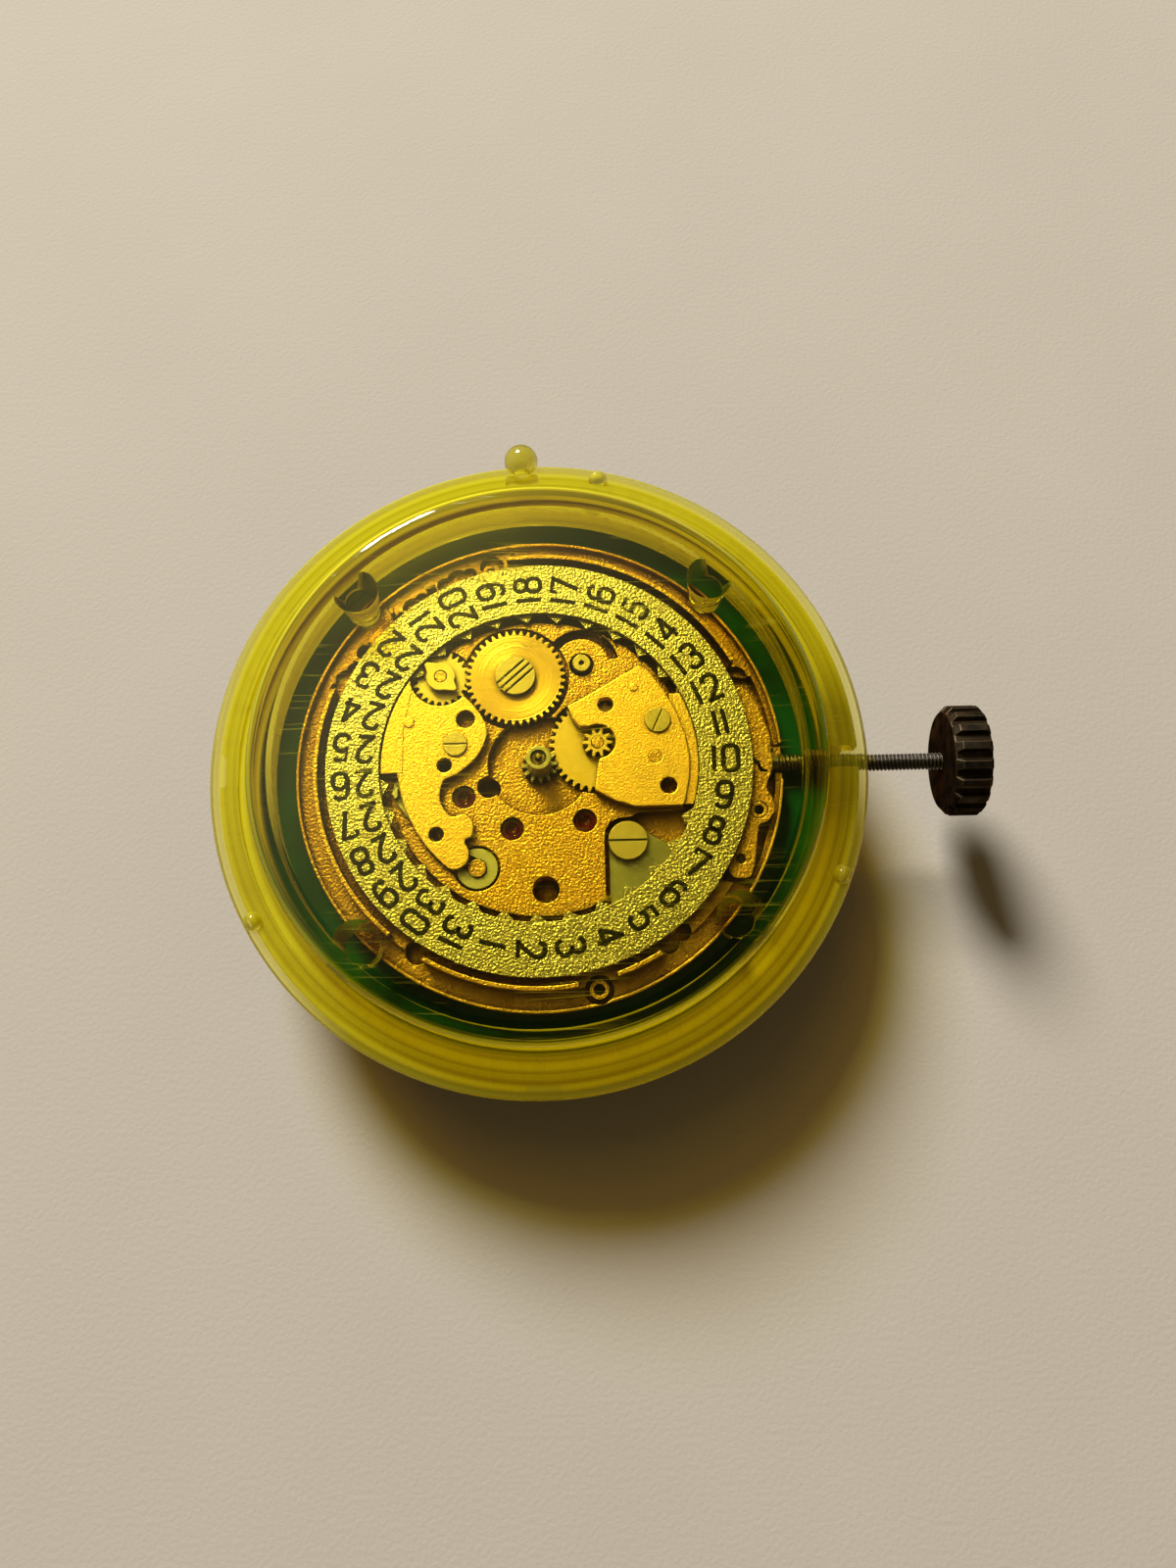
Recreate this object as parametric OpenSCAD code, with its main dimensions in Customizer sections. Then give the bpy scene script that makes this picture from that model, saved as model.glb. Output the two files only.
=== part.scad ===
// Quartz watch movement seen from the dial side, lying in a round two-part storage capsule.
// The origin is the centre of the capsule's underside, +Z is up and +X runs along the stem.
// Lengths are in millimetres.

/* [Capsule] */
// Height of the base's rim above the flange of the main plate
rim_over = 0.7; // [0.65:0.05:1.2]
// Thickness of the base's floor
base_floor = 1.2; // [1.1:0.05:1.3]
// Depth of the groove round the underside
groove_d = 0.3; // [0.2:0.1:0.5]
// Thickness of the base's wall
base_wall = 1.05; // [0.8:0.05:1.3]
// Width of the rim outside the wall
rim_w = 0.64; // [0.4:0.02:1]
// Height of the rim band
rim_h = 1; // [0.6:0.1:1.4]
// Gap between the base's wall and the tray, and the lid's skirt
tray_gap = 0.08; // [0.05:0.01:0.15]
// Width of the green tray round its pocket
tray_ring = 2.45; // [2.4:0.01:2.8]
// Height of the green tray
tray_h = 3.8; // [3.6:0.1:3.9]
// Thickness of the tray's shelf under the movement
tray_shelf_t = 0.5; // [0.3:0.1:0.6]
// Inner radius of the tray's shelf
tray_shelf_r = 9.4; // [8.5:0.1:10.5]
// Wall of the tray at its pocket and its rim
tray_wall = 0.7; // [0.5:0.1:0.9]

/* [Lid] */
// Thickness of the lid's skirt
skirt_t = 0.95; // [0.8:0.05:1]
// Gap between the lid's skirt and the base's wall
skirt_gap = 0.25; // [0.1:0.05:0.4]
// Depth of the skirt below the lid's flange
skirt_depth = 0.45; // [0.3:0.05:0.5]
// How far the flange reaches past the base's rim
flange_over = 0.41; // [0.2:0.01:0.6]
// Thickness of the flange
flange_t = 0.55; // [0.4:0.05:0.8]
// Height of the room under the lid's top, above the flange's seat
dome_h = 2.1; // [1.9:0.1:2.6]
// Thickness of the lid's top
lid_t = 0.8; // [0.6:0.1:1.2]
// Rounding of the lid's top edge
lid_round = 0.55; // [0.3:0.05:0.7]
// Radius of the four pegs where they meet the plate
peg_tip_r = 0.85; // [0.7:0.05:0.9]
// Radius of the four pegs at the lid
peg_root_r = 1.2; // [1:0.05:1.4]
// How far the pegs stand inside the skirt
peg_in = 0.75; // [0.7:0.05:0.8]
// Radius of the ball on the opening nub
nub_r = 0.93; // [0.7:0.01:1.1]
// How far the centre of the nub's ball stands outside the flange
nub_out = 0.45; // [0.3:0.05:0.6]

/* [Main plate] */
// Width of the plate outside the rib
plate_edge = 1.05; // [0.95:0.05:1.1]
// Thickness of the plate's flange, which lies on the tray
flange_plate_t = 1.2; // [1.1:0.05:1.3]
// Step from the plate's edge to the body below the flange
flange_step = 0.5; // [0.4:0.05:0.6]
// Gap between the plate's body and the tray's pocket
pocket_gap = 0.12; // [0.08:0.01:0.2]
// Depth of the plate's body below the flange
body_h = 2.3; // [2.2:0.05:2.4]
// Height of the rib round the date ring, above the flange
rib_h = 0.8; // [0.7:0.05:0.9]
// Gap between the date ring and the rib
rib_room = 0.44; // [0.4:0.01:0.46]
// Width of the rib
rib_w = 0.2; // [0.15:0.05:0.3]
// Height of the deck above the flange
deck_h = 0.3; // [0.25:0.05:0.35]
// Depth of the channel between rib and edge
channel_d = 0.4; // [0.3:0.05:0.45]

/* [Date ring] */
// Outer radius of the date ring
ring_r = 11.11; // [11:0.01:11.2]
// Width of the date ring outside its teeth
ring_w = 2.76; // [2.7:0.01:2.8]
// Length of its teeth
tooth_l = 0.47; // [0.4:0.01:0.5]
// Thickness of the date ring
ring_t = 0.4; // [0.36:0.02:0.4]
// Thickness of its teeth
tooth_t = 0.18; // [0.14:0.02:0.18]
// Number of days on the ring
days = 31; // [31:1:31]

/* [Plates on the dial side] */
// Thickness of the plate over the minute works
minute_bridge_t = 0.6; // [0.5:0.05:0.7]
// Thickness of the plate over the date jumper
jumper_plate_t = 0.45; // [0.4:0.05:0.5]
// Thickness of the ledges that hold the date ring down
ledge_t = 0.14; // [0.1:0.01:0.16]

/* [Gears] */
// Module of the minute works
motion_module = 0.135; // [0.133:0.001:0.136]
// Teeth of the minute wheel
minute_teeth = 36; // [36:1:36]
// Teeth of the cannon pinion
cannon_teeth = 12; // [12:1:12]
// Teeth of the setting wheel
setting_teeth = 10; // [10:1:10]
// Leaves of the pinion on the minute wheel
minute_leaves = 10; // [8:1:12]
// Teeth of the date drive wheel
drive_teeth = 41; // [41:1:41]
// Teeth under the date finger wheel
finger_teeth = 23; // [23:1:23]
// Module of the fast end of the train
fast_module = 0.09; // [0.088:0.001:0.091]
// Module of the seconds wheel
seconds_module = 0.1; // [0.098:0.001:0.101]
// Face width of the train's wheels
wheel_t = 0.2; // [0.15:0.05:0.2]

/* [Stem and crown] */
// Height of the stem's axis above the tray
stem_lift = 0.7; // [0.65:0.05:0.75]
// Radius of the stem over its thread
stem_r = 0.45; // [0.4:0.01:0.46]
// Length of the stem from the main plate's edge to the crown
stem_reach = 8.55; // [8.3:0.05:9]
// Radius of the crown
crown_r = 2.93; // [2.7:0.01:3.1]
// Length of the crown
crown_l = 1.9; // [1.6:0.1:2.4]
// Ribs round the crown
crown_ribs = 18; // [14:1:24]
// Depth of the crown's ribs
rib_depth = 0.3; // [0.2:0.02:0.36]
// Travel of the stem when the crown is pulled
pull = 0.6; // [0.5:0.05:0.7]

/* [Battery and coil] */
// Distance from the axis to the battery, which clears the centre wheel
cell_room = 3.55; // [3.5:0.05:3.6]
// Plate left outside the battery
cell_edge = 0.85; // [0.8:0.05:0.95]
// Thickness of the battery
cell_t = 2.55; // [2.4:0.05:2.55]
// Radius of the coil's winding
coil_r = 1; // [0.8:0.05:1]
// Length of the coil's winding
coil_l = 5.4; // [5:0.1:5.4]

/* [Hidden] */
$fn = 96;
eps = 0.02;
running_gap = 0.05;

// Levels of the stack, from the foot up
floor_z = base_floor;
tray_z = floor_z + tray_h;
flange_z = tray_z + flange_plate_t;
back_z = tray_z - body_h;
deck_z = flange_z + deck_h;
rib_z = flange_z + rib_h;
ring_z = rib_z - ring_t;
base_h = flange_z + rim_over;
under_lid_z = base_h + dome_h;
lid_z = under_lid_z + lid_t;
stem_z = tray_z + stem_lift;

// Radii from the date ring out to the capsule
ring_in_r = ring_r - ring_w;
tooth_tip_r = ring_in_r - tooth_l;
rib_r = ring_r + rib_room + rib_w;
plate_r = rib_r + plate_edge;
body_r = plate_r - flange_step;
tray_r = body_r + pocket_gap + tray_ring;
base_in_r = tray_r + tray_gap;
base_out_r = base_in_r + base_wall;
rim_r = base_out_r + rim_w;
skirt_out_r = base_in_r - skirt_gap;
skirt_in_r = skirt_out_r - skirt_t;
peg_ring_r = skirt_in_r - peg_in;
lid_flange_r = rim_r + flange_over;
nub_reach = lid_flange_r + nub_out;
slot_half = stem_r + 0.12;

// Turns of the four pegs round the axis, in degrees
peg_turns = [45.5, 136.4, 226.9, 319.1];
nub_turn = 92.6;
bump_turns = [-22.5, -151, 78];

// Where the date ring's teeth stand
day_turn = 360 / days;
tooth_turn = 1;

// Centres on the dial side
minute_at = [3.07, 1.05];
drive_at = [-1.20, 4.81];
finger_at = [-5.16, 4.86];
post_at = [2.32, 5.52];
corrector_at = [4.51, -4.14];
hook_at = [-3.25, -5.44];
jumper_at = [-6.95, -1.2];
lever_at = [9.9, 2.2];
yoke_at = [10.05, -5.31];
right_screw_at = [6.23, 2.11];
left_screw_at = [-4.37, 1.08];
ruby_at = [[2.32, -3.05], [-3.95, -1.65], [-1.45, -3.40]];

// Gear sizes follow from their centres and teeth
minute_gap_l = norm(minute_at);
minute_m = 2 * minute_gap_l / (minute_teeth + cannon_teeth);
minute_dir = atan2(minute_at[1], minute_at[0]);
setting_dir = -16.8;
setting_l = minute_m * (minute_teeth + setting_teeth) / 2;
setting_at = minute_at + setting_l * [cos(setting_dir), sin(setting_dir)];
date_gap_l = norm(finger_at - drive_at);
date_m = 2 * date_gap_l / (drive_teeth + finger_teeth);
date_dir = atan2(finger_at[1] - drive_at[1], finger_at[0] - drive_at[0]);

// The train: seconds wheel and centre wheel on the axis, third wheel between them
third_teeth = 60;
seconds_leaves = 8;
centre_teeth = 64;
third_leaves = 8;
third_dir = 60;
third_l = fast_module * (third_teeth + seconds_leaves) / 2;
slow_module = 2 * third_l / (centre_teeth + third_leaves);
third_at = third_l * [cos(third_dir), sin(third_dir)];
seconds_teeth = 40;
step_leaves = 8;
step_dir = -20;
step_l = seconds_module * (seconds_teeth + step_leaves) / 2;
step_at = step_l * [cos(step_dir), sin(step_dir)];
step_teeth = 48;
rotor_leaves = 8;
rotor_dir = -10;
rotor_l = fast_module * (step_teeth + rotor_leaves) / 2;
rotor_at = step_at + rotor_l * [cos(rotor_dir), sin(rotor_dir)];

// Levels of the train, measured down from the tray's top
pocket_z = tray_z - 0.4;
centre_z = tray_z - 0.8;
third_z = tray_z - 1.3;
seconds_z = tray_z - 1.7;
step_z = tray_z - 2.1;
stator_z = tray_z - 1.2;
bridge_z = back_z - 0.5;
board_z = back_z + 0.05;

// Battery, coil and board on the back
cell_r = (body_r - cell_edge - cell_room) / 2;
cell_at = (cell_room + cell_r) * [-0.746, -0.666];
cell_z = tray_z - 0.45 - cell_t;
coil_at = [4, -7.7];
coil_z = stator_z - 0.15;
left_leg = coil_at[0] - coil_l / 2 - 0.15;
right_leg = coil_at[0] + coil_l / 2 + 0.15;
pin_xs = [left_leg - 0.45, right_leg + 0.5];
crystal_at = (body_r - 3.02) * [-0.797, 0.603];
crystal_r = 0.75;
crystal_l = 6;
crystal_turn = 50;
ic_at = [-2.2, body_r - 3.9];
trimmer_at = (body_r - 2.47) * [0.325, 0.946];
bridge_screws_at = [[-3.7, 1.3], [4.6, 4.4], [7.4, 0.9]];
board_screws_at = [(body_r - 2.68) * [-0.998, 0.0624], (body_r - 1.94) * [0.598, 0.801]];

// Turns between which the rib stands, in degrees
rib_arcs = [[27, 98], [118.5, 122], [130, 132.7], [157.6, 229], [239, 279], [289, 301]];
dial_holes_at = [[-2.51, 11.08], [2.86, -11.7]];
eyelet_at = [11.35, -2.7];

// A disc or tube that stands on a level
module disc(r, z0, z1) {
    translate([0, 0, z0]) cylinder(r = r, h = z1 - z0);
}

module tube(r_out, r_in, z0, z1) {
    difference() {
        disc(r_out, z0, z1);
        disc(r_in, z0 - eps, z1 + eps);
    }
}

// A flat plate between two levels, from the outline given as its child
module plate(z0, z1) {
    translate([0, 0, z0]) linear_extrude(height = z1 - z0) children();
}

module at(p) {
    translate([p[0], p[1], 0]) children();
}

// Slice of a disc between two turns of less than 90 degrees
module sector(r, from, to) {
    polygon(concat([[0, 0]], [for (i = [0 : 4]) let (turn = from + (to - from) * i / 4)
        r * [cos(turn), sin(turn)]]));
}

// Toothed outline with straight flanks: gear_m is the module and the first tooth lies at turn 0
module gear_outline(teeth, gear_m) {
    pitch = 360 / teeth;
    root_r = gear_m * (teeth / 2 - 1.15);
    tip_r = gear_m * (teeth / 2 + 0.9);
    polygon([for (i = [0 : teeth - 1], k = [[-0.31, 0], [-0.12, 1], [0.12, 1], [0.31, 0]])
        (k[1] == 0 ? root_r : tip_r) * [cos((i + k[0]) * pitch), sin((i + k[0]) * pitch)]]);
}

module gear(teeth, gear_m, turn, z0, z1) {
    plate(z0, z1) rotate(turn) gear_outline(teeth, gear_m);
}

// Turn of the driven gear that meshes with a gear whose first tooth lies at turn_a
function mesh_turn(dir, teeth_a, turn_a, teeth_b) =
    dir + 180 + 180 / teeth_b - (turn_a - dir) * teeth_a / teeth_b;

// Smooth closed outline through a few points
function spline(a, b, c, d, t) =
    0.5 * (2 * b + (c - a) * t + (2 * a - 5 * b + 4 * c - d) * t * t
    + (3 * b - a - 3 * c + d) * t * t * t);
function smooth_loop(p, steps) =
    let (n = len(p))
    [for (i = [0 : n - 1], s = [0 : steps - 1])
        spline(p[(i + n - 1) % n], p[i], p[(i + 1) % n], p[(i + 2) % n], s / steps)];

// Slotted screw with its head's underside at z0
module slotted_screw(head_r, shank_r, z0, head_t, shank_l, slot_w, slots, turn) {
    slot_d = head_t * 0.5;
    difference() {
        union() {
            disc(head_r, z0, z0 + head_t);
            disc(shank_r, z0 - shank_l, z0 + eps);
        }
        for (i = [0 : slots - 1])
            rotate(turn)
                translate([-head_r - eps, (i - (slots - 1) / 2) * slot_w * 2.6 - slot_w / 2, z0 + slot_d])
                    cube([2 * head_r + 2 * eps, slot_w, head_t]);
    }
}

// Capsule

module capsule_base() {
    color([0.86, 0.78, 0.05, 0.45]) difference() {
        rotate_extrude() polygon([
            [0, 0], [base_out_r - 3.2, 0], [base_out_r - 3.1, groove_d], [base_out_r - 2.3, groove_d],
            [base_out_r - 2.2, 0], [base_out_r - 1.05, 0], [base_out_r - 0.6, 0.12],
            [base_out_r - 0.22, 0.4], [base_out_r - 0.05, 0.8], [base_out_r, floor_z],
            [base_out_r, base_h - rim_h - 0.15],
            [rim_r - 0.1, base_h - rim_h], [rim_r, base_h - rim_h + 0.1], [rim_r, base_h - 0.1],
            [rim_r - 0.1, base_h], [base_in_r, base_h], [base_in_r, floor_z], [0, floor_z]]);
        translate([base_in_r - 1, -slot_half, stem_z - slot_half])
            cube([rim_r - base_in_r + 2, 2 * slot_half, base_h]);
        rotate(nub_turn) translate([base_out_r, -1.1, base_h - rim_h * 0.8])
            cube([rim_w + 1, 2.2, rim_h]);
        for (turn = [180, 270])
            rotate(turn) translate([rim_r - 0.35, -0.9, base_h - rim_h - 1])
                cube([1, 1.8, rim_h + 2]);
    }
}

module holder_tray() {
    pocket_r = body_r + pocket_gap;
    core_r = pocket_r + tray_wall;
    color([0.01, 0.33, 0.25]) rotate_extrude() polygon([
        [tray_shelf_r, floor_z], [core_r, floor_z], [core_r, tray_z - tray_wall],
        [tray_r - tray_wall, tray_z - tray_wall], [tray_r - tray_wall, floor_z], [tray_r, floor_z],
        [tray_r, tray_z - 0.15], [tray_r - 0.15, tray_z], [pocket_r, tray_z],
        [pocket_r, floor_z + tray_shelf_t], [tray_shelf_r, floor_z + tray_shelf_t]]);
}

module lid_shell() {
    top_z = base_h + flange_t;
    bead_in = base_out_r - 0.45;
    bead_out = base_out_r + 0.05;
    rotate_extrude() polygon(concat(
        [[0, under_lid_z], [skirt_in_r - 0.35, under_lid_z], [skirt_in_r, under_lid_z - 0.35],
         [skirt_in_r, base_h - skirt_depth], [skirt_out_r, base_h - skirt_depth],
         [skirt_out_r, base_h], [lid_flange_r - 0.08, base_h], [lid_flange_r, base_h + 0.08],
         [lid_flange_r, top_z - 0.12], [lid_flange_r - 0.12, top_z], [bead_out, top_z],
         [bead_out, top_z + 0.2], [bead_in, top_z + 0.2], [bead_in, top_z],
         [skirt_out_r + 0.15, top_z], [skirt_out_r, top_z + 0.15]],
        [for (a = [0 : 15 : 90]) [skirt_out_r - lid_round * (1 - cos(a)), lid_z - lid_round * (1 - sin(a))]],
        [[0, lid_z]]));
}

module capsule_lid() {
    nub_z = base_h + flange_t * 0.55;
    color([0.9, 0.82, 0.08, 0.4]) difference() {
        union() {
            lid_shell();
            for (turn = peg_turns)
                rotate(turn) translate([peg_ring_r, 0, flange_z])
                    cylinder(r1 = peg_tip_r, r2 = peg_root_r, h = under_lid_z - flange_z + eps);
            rotate(nub_turn) translate([nub_reach, 0, nub_z]) sphere(r = nub_r);
            rotate(nub_turn) translate([lid_flange_r - 0.6, 0, nub_z]) rotate([0, 90, 0])
                cylinder(r = nub_r * 0.55, h = nub_reach - lid_flange_r + 0.6);
            for (turn = bump_turns)
                rotate(turn) translate([base_out_r + 0.5, 0, base_h + flange_t - 0.05]) sphere(r = 0.5);
        }
        rotate(nub_turn) translate([base_out_r - 0.2, -0.9, base_h + flange_t * 0.5])
            cube([0.7, 1.8, flange_t]);
    }
}

// Main plate

module deck_recess(r, z0) {
    disc(r, z0, rib_z + 1);
}

// Recess of the setting works under the date ring and outside it, on the crown's side
module setting_recess() {
    plate(tray_z + 0.1, rib_z + 1) intersection() {
        circle(r = plate_r - 0.35);
        polygon([[9.15, -0.95], [9.15, 3.1], [10.4, 5.0], [11.4, 4.9], [13.2, 1.2], [13.2, -0.95],
            [12.6, -1.6], [11.9, -3.5], [10.9, -6.6], [9.3, -6.3], [9.3, -5.2], [7.45, -1.05],
            [7.45, -0.95]]);
    }
}

module main_plate_solid() {
    disc(plate_r, tray_z, flange_z);
    disc(body_r, back_z, tray_z + eps);
    disc(ring_r + 0.05, tray_z, deck_z);
    for (arc = rib_arcs)
        intersection() {
            tube(rib_r, rib_r - rib_w, flange_z - channel_d - 0.1, rib_z);
            plate(0, rib_z + 1) sector(plate_r + 1, arc[0], arc[1]);
        }
}

module main_plate() {
    rim_edge = 0.12;
    drive_r = date_m * (drive_teeth / 2 + 1) + 0.2;
    finger_r = date_m * (finger_teeth / 2 + 1) + 0.12;
    minute_r = minute_m * (minute_teeth / 2 + 1) + 0.12;
    setting_r = minute_m * (setting_teeth / 2 + 1) + 0.1;
    color([0.87, 0.66, 0.16]) {
        difference() {
            main_plate_solid();
            tube(plate_r - rim_edge, rib_r, flange_z - channel_d, rib_z + 1);
            tube(ring_in_r + 0.5, tooth_tip_r + 0.08, flange_z - 0.2, rib_z + 1);
            deck_recess(2.72, flange_z - 0.25);
            at(drive_at) deck_recess(drive_r, flange_z);
            at(finger_at) deck_recess(finger_r, flange_z);
            at(minute_at) deck_recess(minute_r, flange_z - 0.2);
            at(setting_at) deck_recess(setting_r, stem_z - 0.25);
            at(post_at) intersection() {
                tube(2, 1.45, flange_z - 0.3, rib_z + 1);
                rotate(10) plate(0, rib_z + 2) polygon([[-4, 0], [4, 0], [4, 4], [-4, 4]]);
            }
            plate(flange_z - 0.3, rib_z + 1) corrector_recess_outline();
            plate(flange_z - 0.02, rib_z + 1) jumper_recess_outline();
            setting_recess();
            plate(stem_z - 0.85, rib_z + 1) translate([7, -0.95]) square([1.9, 1.9]);
            translate([7.2, 0, stem_z]) rotate([0, 90, 0]) cylinder(r = stem_r + 0.05, h = 8);
            translate([body_r - 0.5, -1, stem_z]) cube([2, 2, 3]);
            plate_holes();
            back_pockets();
        }
        at(finger_at) disc(0.3, flange_z - 0.3, deck_z + 0.48);
        at(minute_at) disc(0.3, flange_z - 0.5, deck_z + 0.4);
        at(setting_at) disc(0.34, stem_z - 0.45, deck_z + minute_bridge_t);
        at(hook_at) disc(0.45, flange_z - 0.1, deck_z + 0.1);
        at(lever_at) disc(0.3, tray_z, flange_z + 0.15);
        at(yoke_at) disc(0.25, tray_z, stem_z + 0.12);
        at(jumper_at) disc(0.25, flange_z - 0.1, deck_z - 0.04);
        at(eyelet_at) tube(0.42, 0.26, tray_z, deck_z + 0.04);
        for (p = dial_holes_at)
            at(p) tube(0.48, 0.3, tray_z, flange_z);
    }
}

module plate_holes() {
    for (h = [[-9.35, 6.72, 0.53], [-2.66, -1.13, 0.6], [0.26, -6.62, 0.7], [-4.93, -0.03, 0.35],
              [-2.51, 11.08, 0.3], [2.86, -11.7, 0.3]])
        translate([h[0], h[1], tray_z + 0.1]) cylinder(r = h[2], h = 3);
    for (h = [[-9.95, 5.75, 0.42], [-10.4, 5.2, 0.58], [-10.85, 4.7, 0.42], [-5.05, 10.55, 0.5],
              [-4.35, 10.9, 0.62], [-3.75, 11.15, 0.45], [-7.3, 8.75, 0.45], [-6.85, 9.3, 0.57],
              [-6.35, 9.72, 0.45], [-2.5, 11.6, 0.68], [-6.35, -9.61, 0.6], [6.4, -9.35, 0.6],
              [7.1, -8.85, 0.5], [10.6, 4.85, 0.62], [2.86, -11.7, 0.75]])
        translate([h[0], h[1], flange_z - 0.75]) cylinder(r = h[2], h = 3);
    for (p = ruby_at) translate([p[0], p[1], flange_z - 0.3]) cylinder(r = 0.62, h = 3);
    at(corrector_at) disc(0.45, tray_z + 0.1, flange_z);
    at(right_screw_at) disc(0.35, tray_z + 0.2, deck_z + 1);
    at(left_screw_at) disc(0.35, tray_z + 0.2, deck_z + 1);
    at(drive_at) disc(0.35, tray_z + 0.2, deck_z + 1);
    at(post_at) disc(0.66, flange_z - 0.3, deck_z + 1);
    disc(0.62, back_z, rib_z + 1);
}

module corrector_recess_outline() {
    intersection() {
        circle(r = ring_in_r + 0.4);
        polygon([[3.3, -7.6], [3.3, -4.2], [3.35, -3.6], [3.6, -3.15], [4.0, -2.95], [4.65, -2.9],
            [5.11, -2.66], [9, -2.5], [9, -8], [3.3, -8.6]]);
    }
}

module jumper_recess_outline() {
    intersection() {
        circle(r = ring_in_r + 0.2);
        union() {
            polygon([[-5.6, -0.4], [-5.6, -2.4], [-6.2, -3.0], [-9, -4.2], [-9, -0.4]]);
            intersection() {
                difference() {
                    circle(r = 7.25);
                    circle(r = 6.45);
                }
                polygon([[0, 0], [-9, -3], [-9, -9], [-4.6, -9]]);
            }
            at(hook_at) circle(r = 1.2);
        }
    }
}

// Pockets cut from the back for battery, train, coil, board and stator
module back_pockets() {
    at(cell_at) disc(cell_r + 0.3, back_z - 1, tray_z - 0.4);
    disc(centre_teeth * slow_module / 2 + 0.3, back_z - 1, pocket_z);
    at(third_at) disc(third_teeth * fast_module / 2 + 0.3, back_z - 1, pocket_z);
    at(step_at) disc(step_teeth * fast_module / 2 + 0.3, back_z - 1, pocket_z);
    at(rotor_at) disc(1.7, back_z - 1, pocket_z);
    plate(back_z - 1, stator_z + 0.3) stator_pocket_outline();
    translate([coil_at[0] - coil_l / 2 - 0.15, coil_at[1] - coil_r - 0.12, back_z - 1])
        cube([coil_l + 0.3, 2 * coil_r + 0.24, coil_z + coil_r + 0.06 - back_z + 1]);
    plate(back_z - 1, back_z + 0.42) board_outline(0.15);
    plate(back_z - 1, pocket_z) board_parts_outline();
    for (p = concat(bridge_screws_at, board_screws_at))
        at(p) disc(0.35, back_z - 1, back_z + 1.3);
}

module stator_pocket_outline() {
    polygon([[left_leg - 1.25, -9.3], [right_leg + 1.25, -9.3], [right_leg + 1.75, -7.2], [7.7, -3.2],
        [6.6, 0.2], [3.2, 0.2], [2.6, -3.2], [left_leg - 1.25, -5.6]]);
}

module board_outline(grow) {
    intersection() {
        difference() {
            circle(r = body_r - 0.7 + grow);
            circle(r = 6.4 - grow);
        }
        polygon([[0, 4.2], [8.2 + grow, 7.6 - grow], [8.6 + grow, 12], [-13, 12], [-13, -0.6 - grow],
            [-6, -0.6 - grow]]);
    }
}

module board_parts_outline() {
    at(ic_at) square([4.6, 3.4], center = true);
    at(crystal_at) rotate(crystal_turn) square([crystal_l + 0.6, 2 * crystal_r + 0.5], center = true);
    at(trimmer_at) circle(r = 1.35);
}

// Date works

module date_ring() {
    color([0.85, 0.8, 0.5]) {
        tube(ring_r, ring_in_r, ring_z, rib_z);
        plate(ring_z, ring_z + tooth_t) difference() {
            circle(r = ring_in_r + 0.4);
            polygon([for (i = [0 : days - 1], k = [[-3.2, 0], [0, 1], [5.7, 0]])
                (k[1] == 1 ? tooth_tip_r : ring_in_r + 0.15)
                * [cos(i * day_turn + tooth_turn + k[0]), sin(i * day_turn + tooth_turn + k[0])]]);
        }
    }
}

module jumper_plate_outline() {
    difference() {
        intersection() {
            circle(r = tooth_tip_r - 0.06);
            polygon(smooth_loop([[-6.95, 4.35], [-5.6, 4.2], [-4.16, 3.86], [-3.23, 2.96], [-2.74, 2.0],
                [-2.86, 1.17], [-3.35, 0.3], [-4.3, -0.5], [-4.98, -0.85], [-5.17, -1.76], [-4.9, -2.45],
                [-4.49, -2.8], [-3.9, -2.68], [-3.45, -3.1], [-3.5, -3.75], [-3.88, -4.07], [-3.66, -4.6],
                [-3.8, -5.25], [-4.47, -5.54], [-5.2, -4.98], [-6.0, -4.05], [-6.6, -3.0], [-7.05, -1.9],
                [-7.3, -0.8], [-7.55, 0.4], [-7.6, 1.7], [-7.4, 3.2]], 4));
        }
        at(finger_at) circle(r = date_m * (finger_teeth / 2 + 1) + 0.1);
        at([-3.84, 2.46]) circle(r = 0.5);
        at([-4.93, -0.03]) circle(r = 0.4);
        at([-5.32, -3.70]) circle(r = 0.4);
        at(left_screw_at) circle(r = 0.36);
    }
}

module jumper_plate() {
    ledge_z = ring_z + tooth_t + running_gap;
    color([0.9, 0.7, 0.18]) {
        plate(deck_z, deck_z + jumper_plate_t) jumper_plate_outline();
        plate(ledge_z, ledge_z + ledge_t) intersection() {
            difference() {
                circle(r = ring_in_r - 0.12);
                circle(r = 6.9);
                at(finger_at) circle(r = date_m * (finger_teeth / 2 + 1) + 0.1);
            }
            polygon([[-6.6, 4.6], [-9, 5.6], [-9, -0.4], [-7.1, -0.4], [-7.1, 2]]);
        }
        at([-6.82, 2.36]) disc(0.28, deck_z + 0.1, deck_z + jumper_plate_t + 0.06);
    }
}

module date_jumper() {
    low = flange_z + 0.02;
    color([0.62, 0.62, 0.5]) difference() {
        union() {
            plate(low, deck_z - 0.03) polygon(smooth_loop([[-6.4, -0.6], [-7.1, -0.55], [-7.55, -0.8],
                [-7.62, -1.3], [-7.5, -1.75], [-7.0, -2.5], [-6.6, -2.9], [-6.3, -2.6], [-6.15, -1.6]], 4));
            plate(low, ring_z + tooth_t) polygon([[-7.45, -1.1], [-7.63, -1.42], [-7.5, -1.72],
                [-7.36, -1.62], [-7.36, -1.15]]);
        }
        at(jumper_at) disc(0.3, low - 1, deck_z + 1);
    }
}

module jumper_spring() {
    low = flange_z + 0.04;
    color([0.55, 0.55, 0.42]) {
        plate(low, deck_z - 0.05) {
            difference() {
                at(hook_at) circle(r = 1.05);
                at(hook_at) circle(r = 0.5);
                at(hook_at) rotate(150) translate([0, -0.45]) square([3, 0.9]);
            }
            intersection() {
                difference() {
                    circle(r = 7.0);
                    circle(r = 6.72);
                }
                polygon([[0, 0], [-9, -4.4], [-9, -9], [-5.06, -9]]);
            }
        }
    }
}

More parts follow.
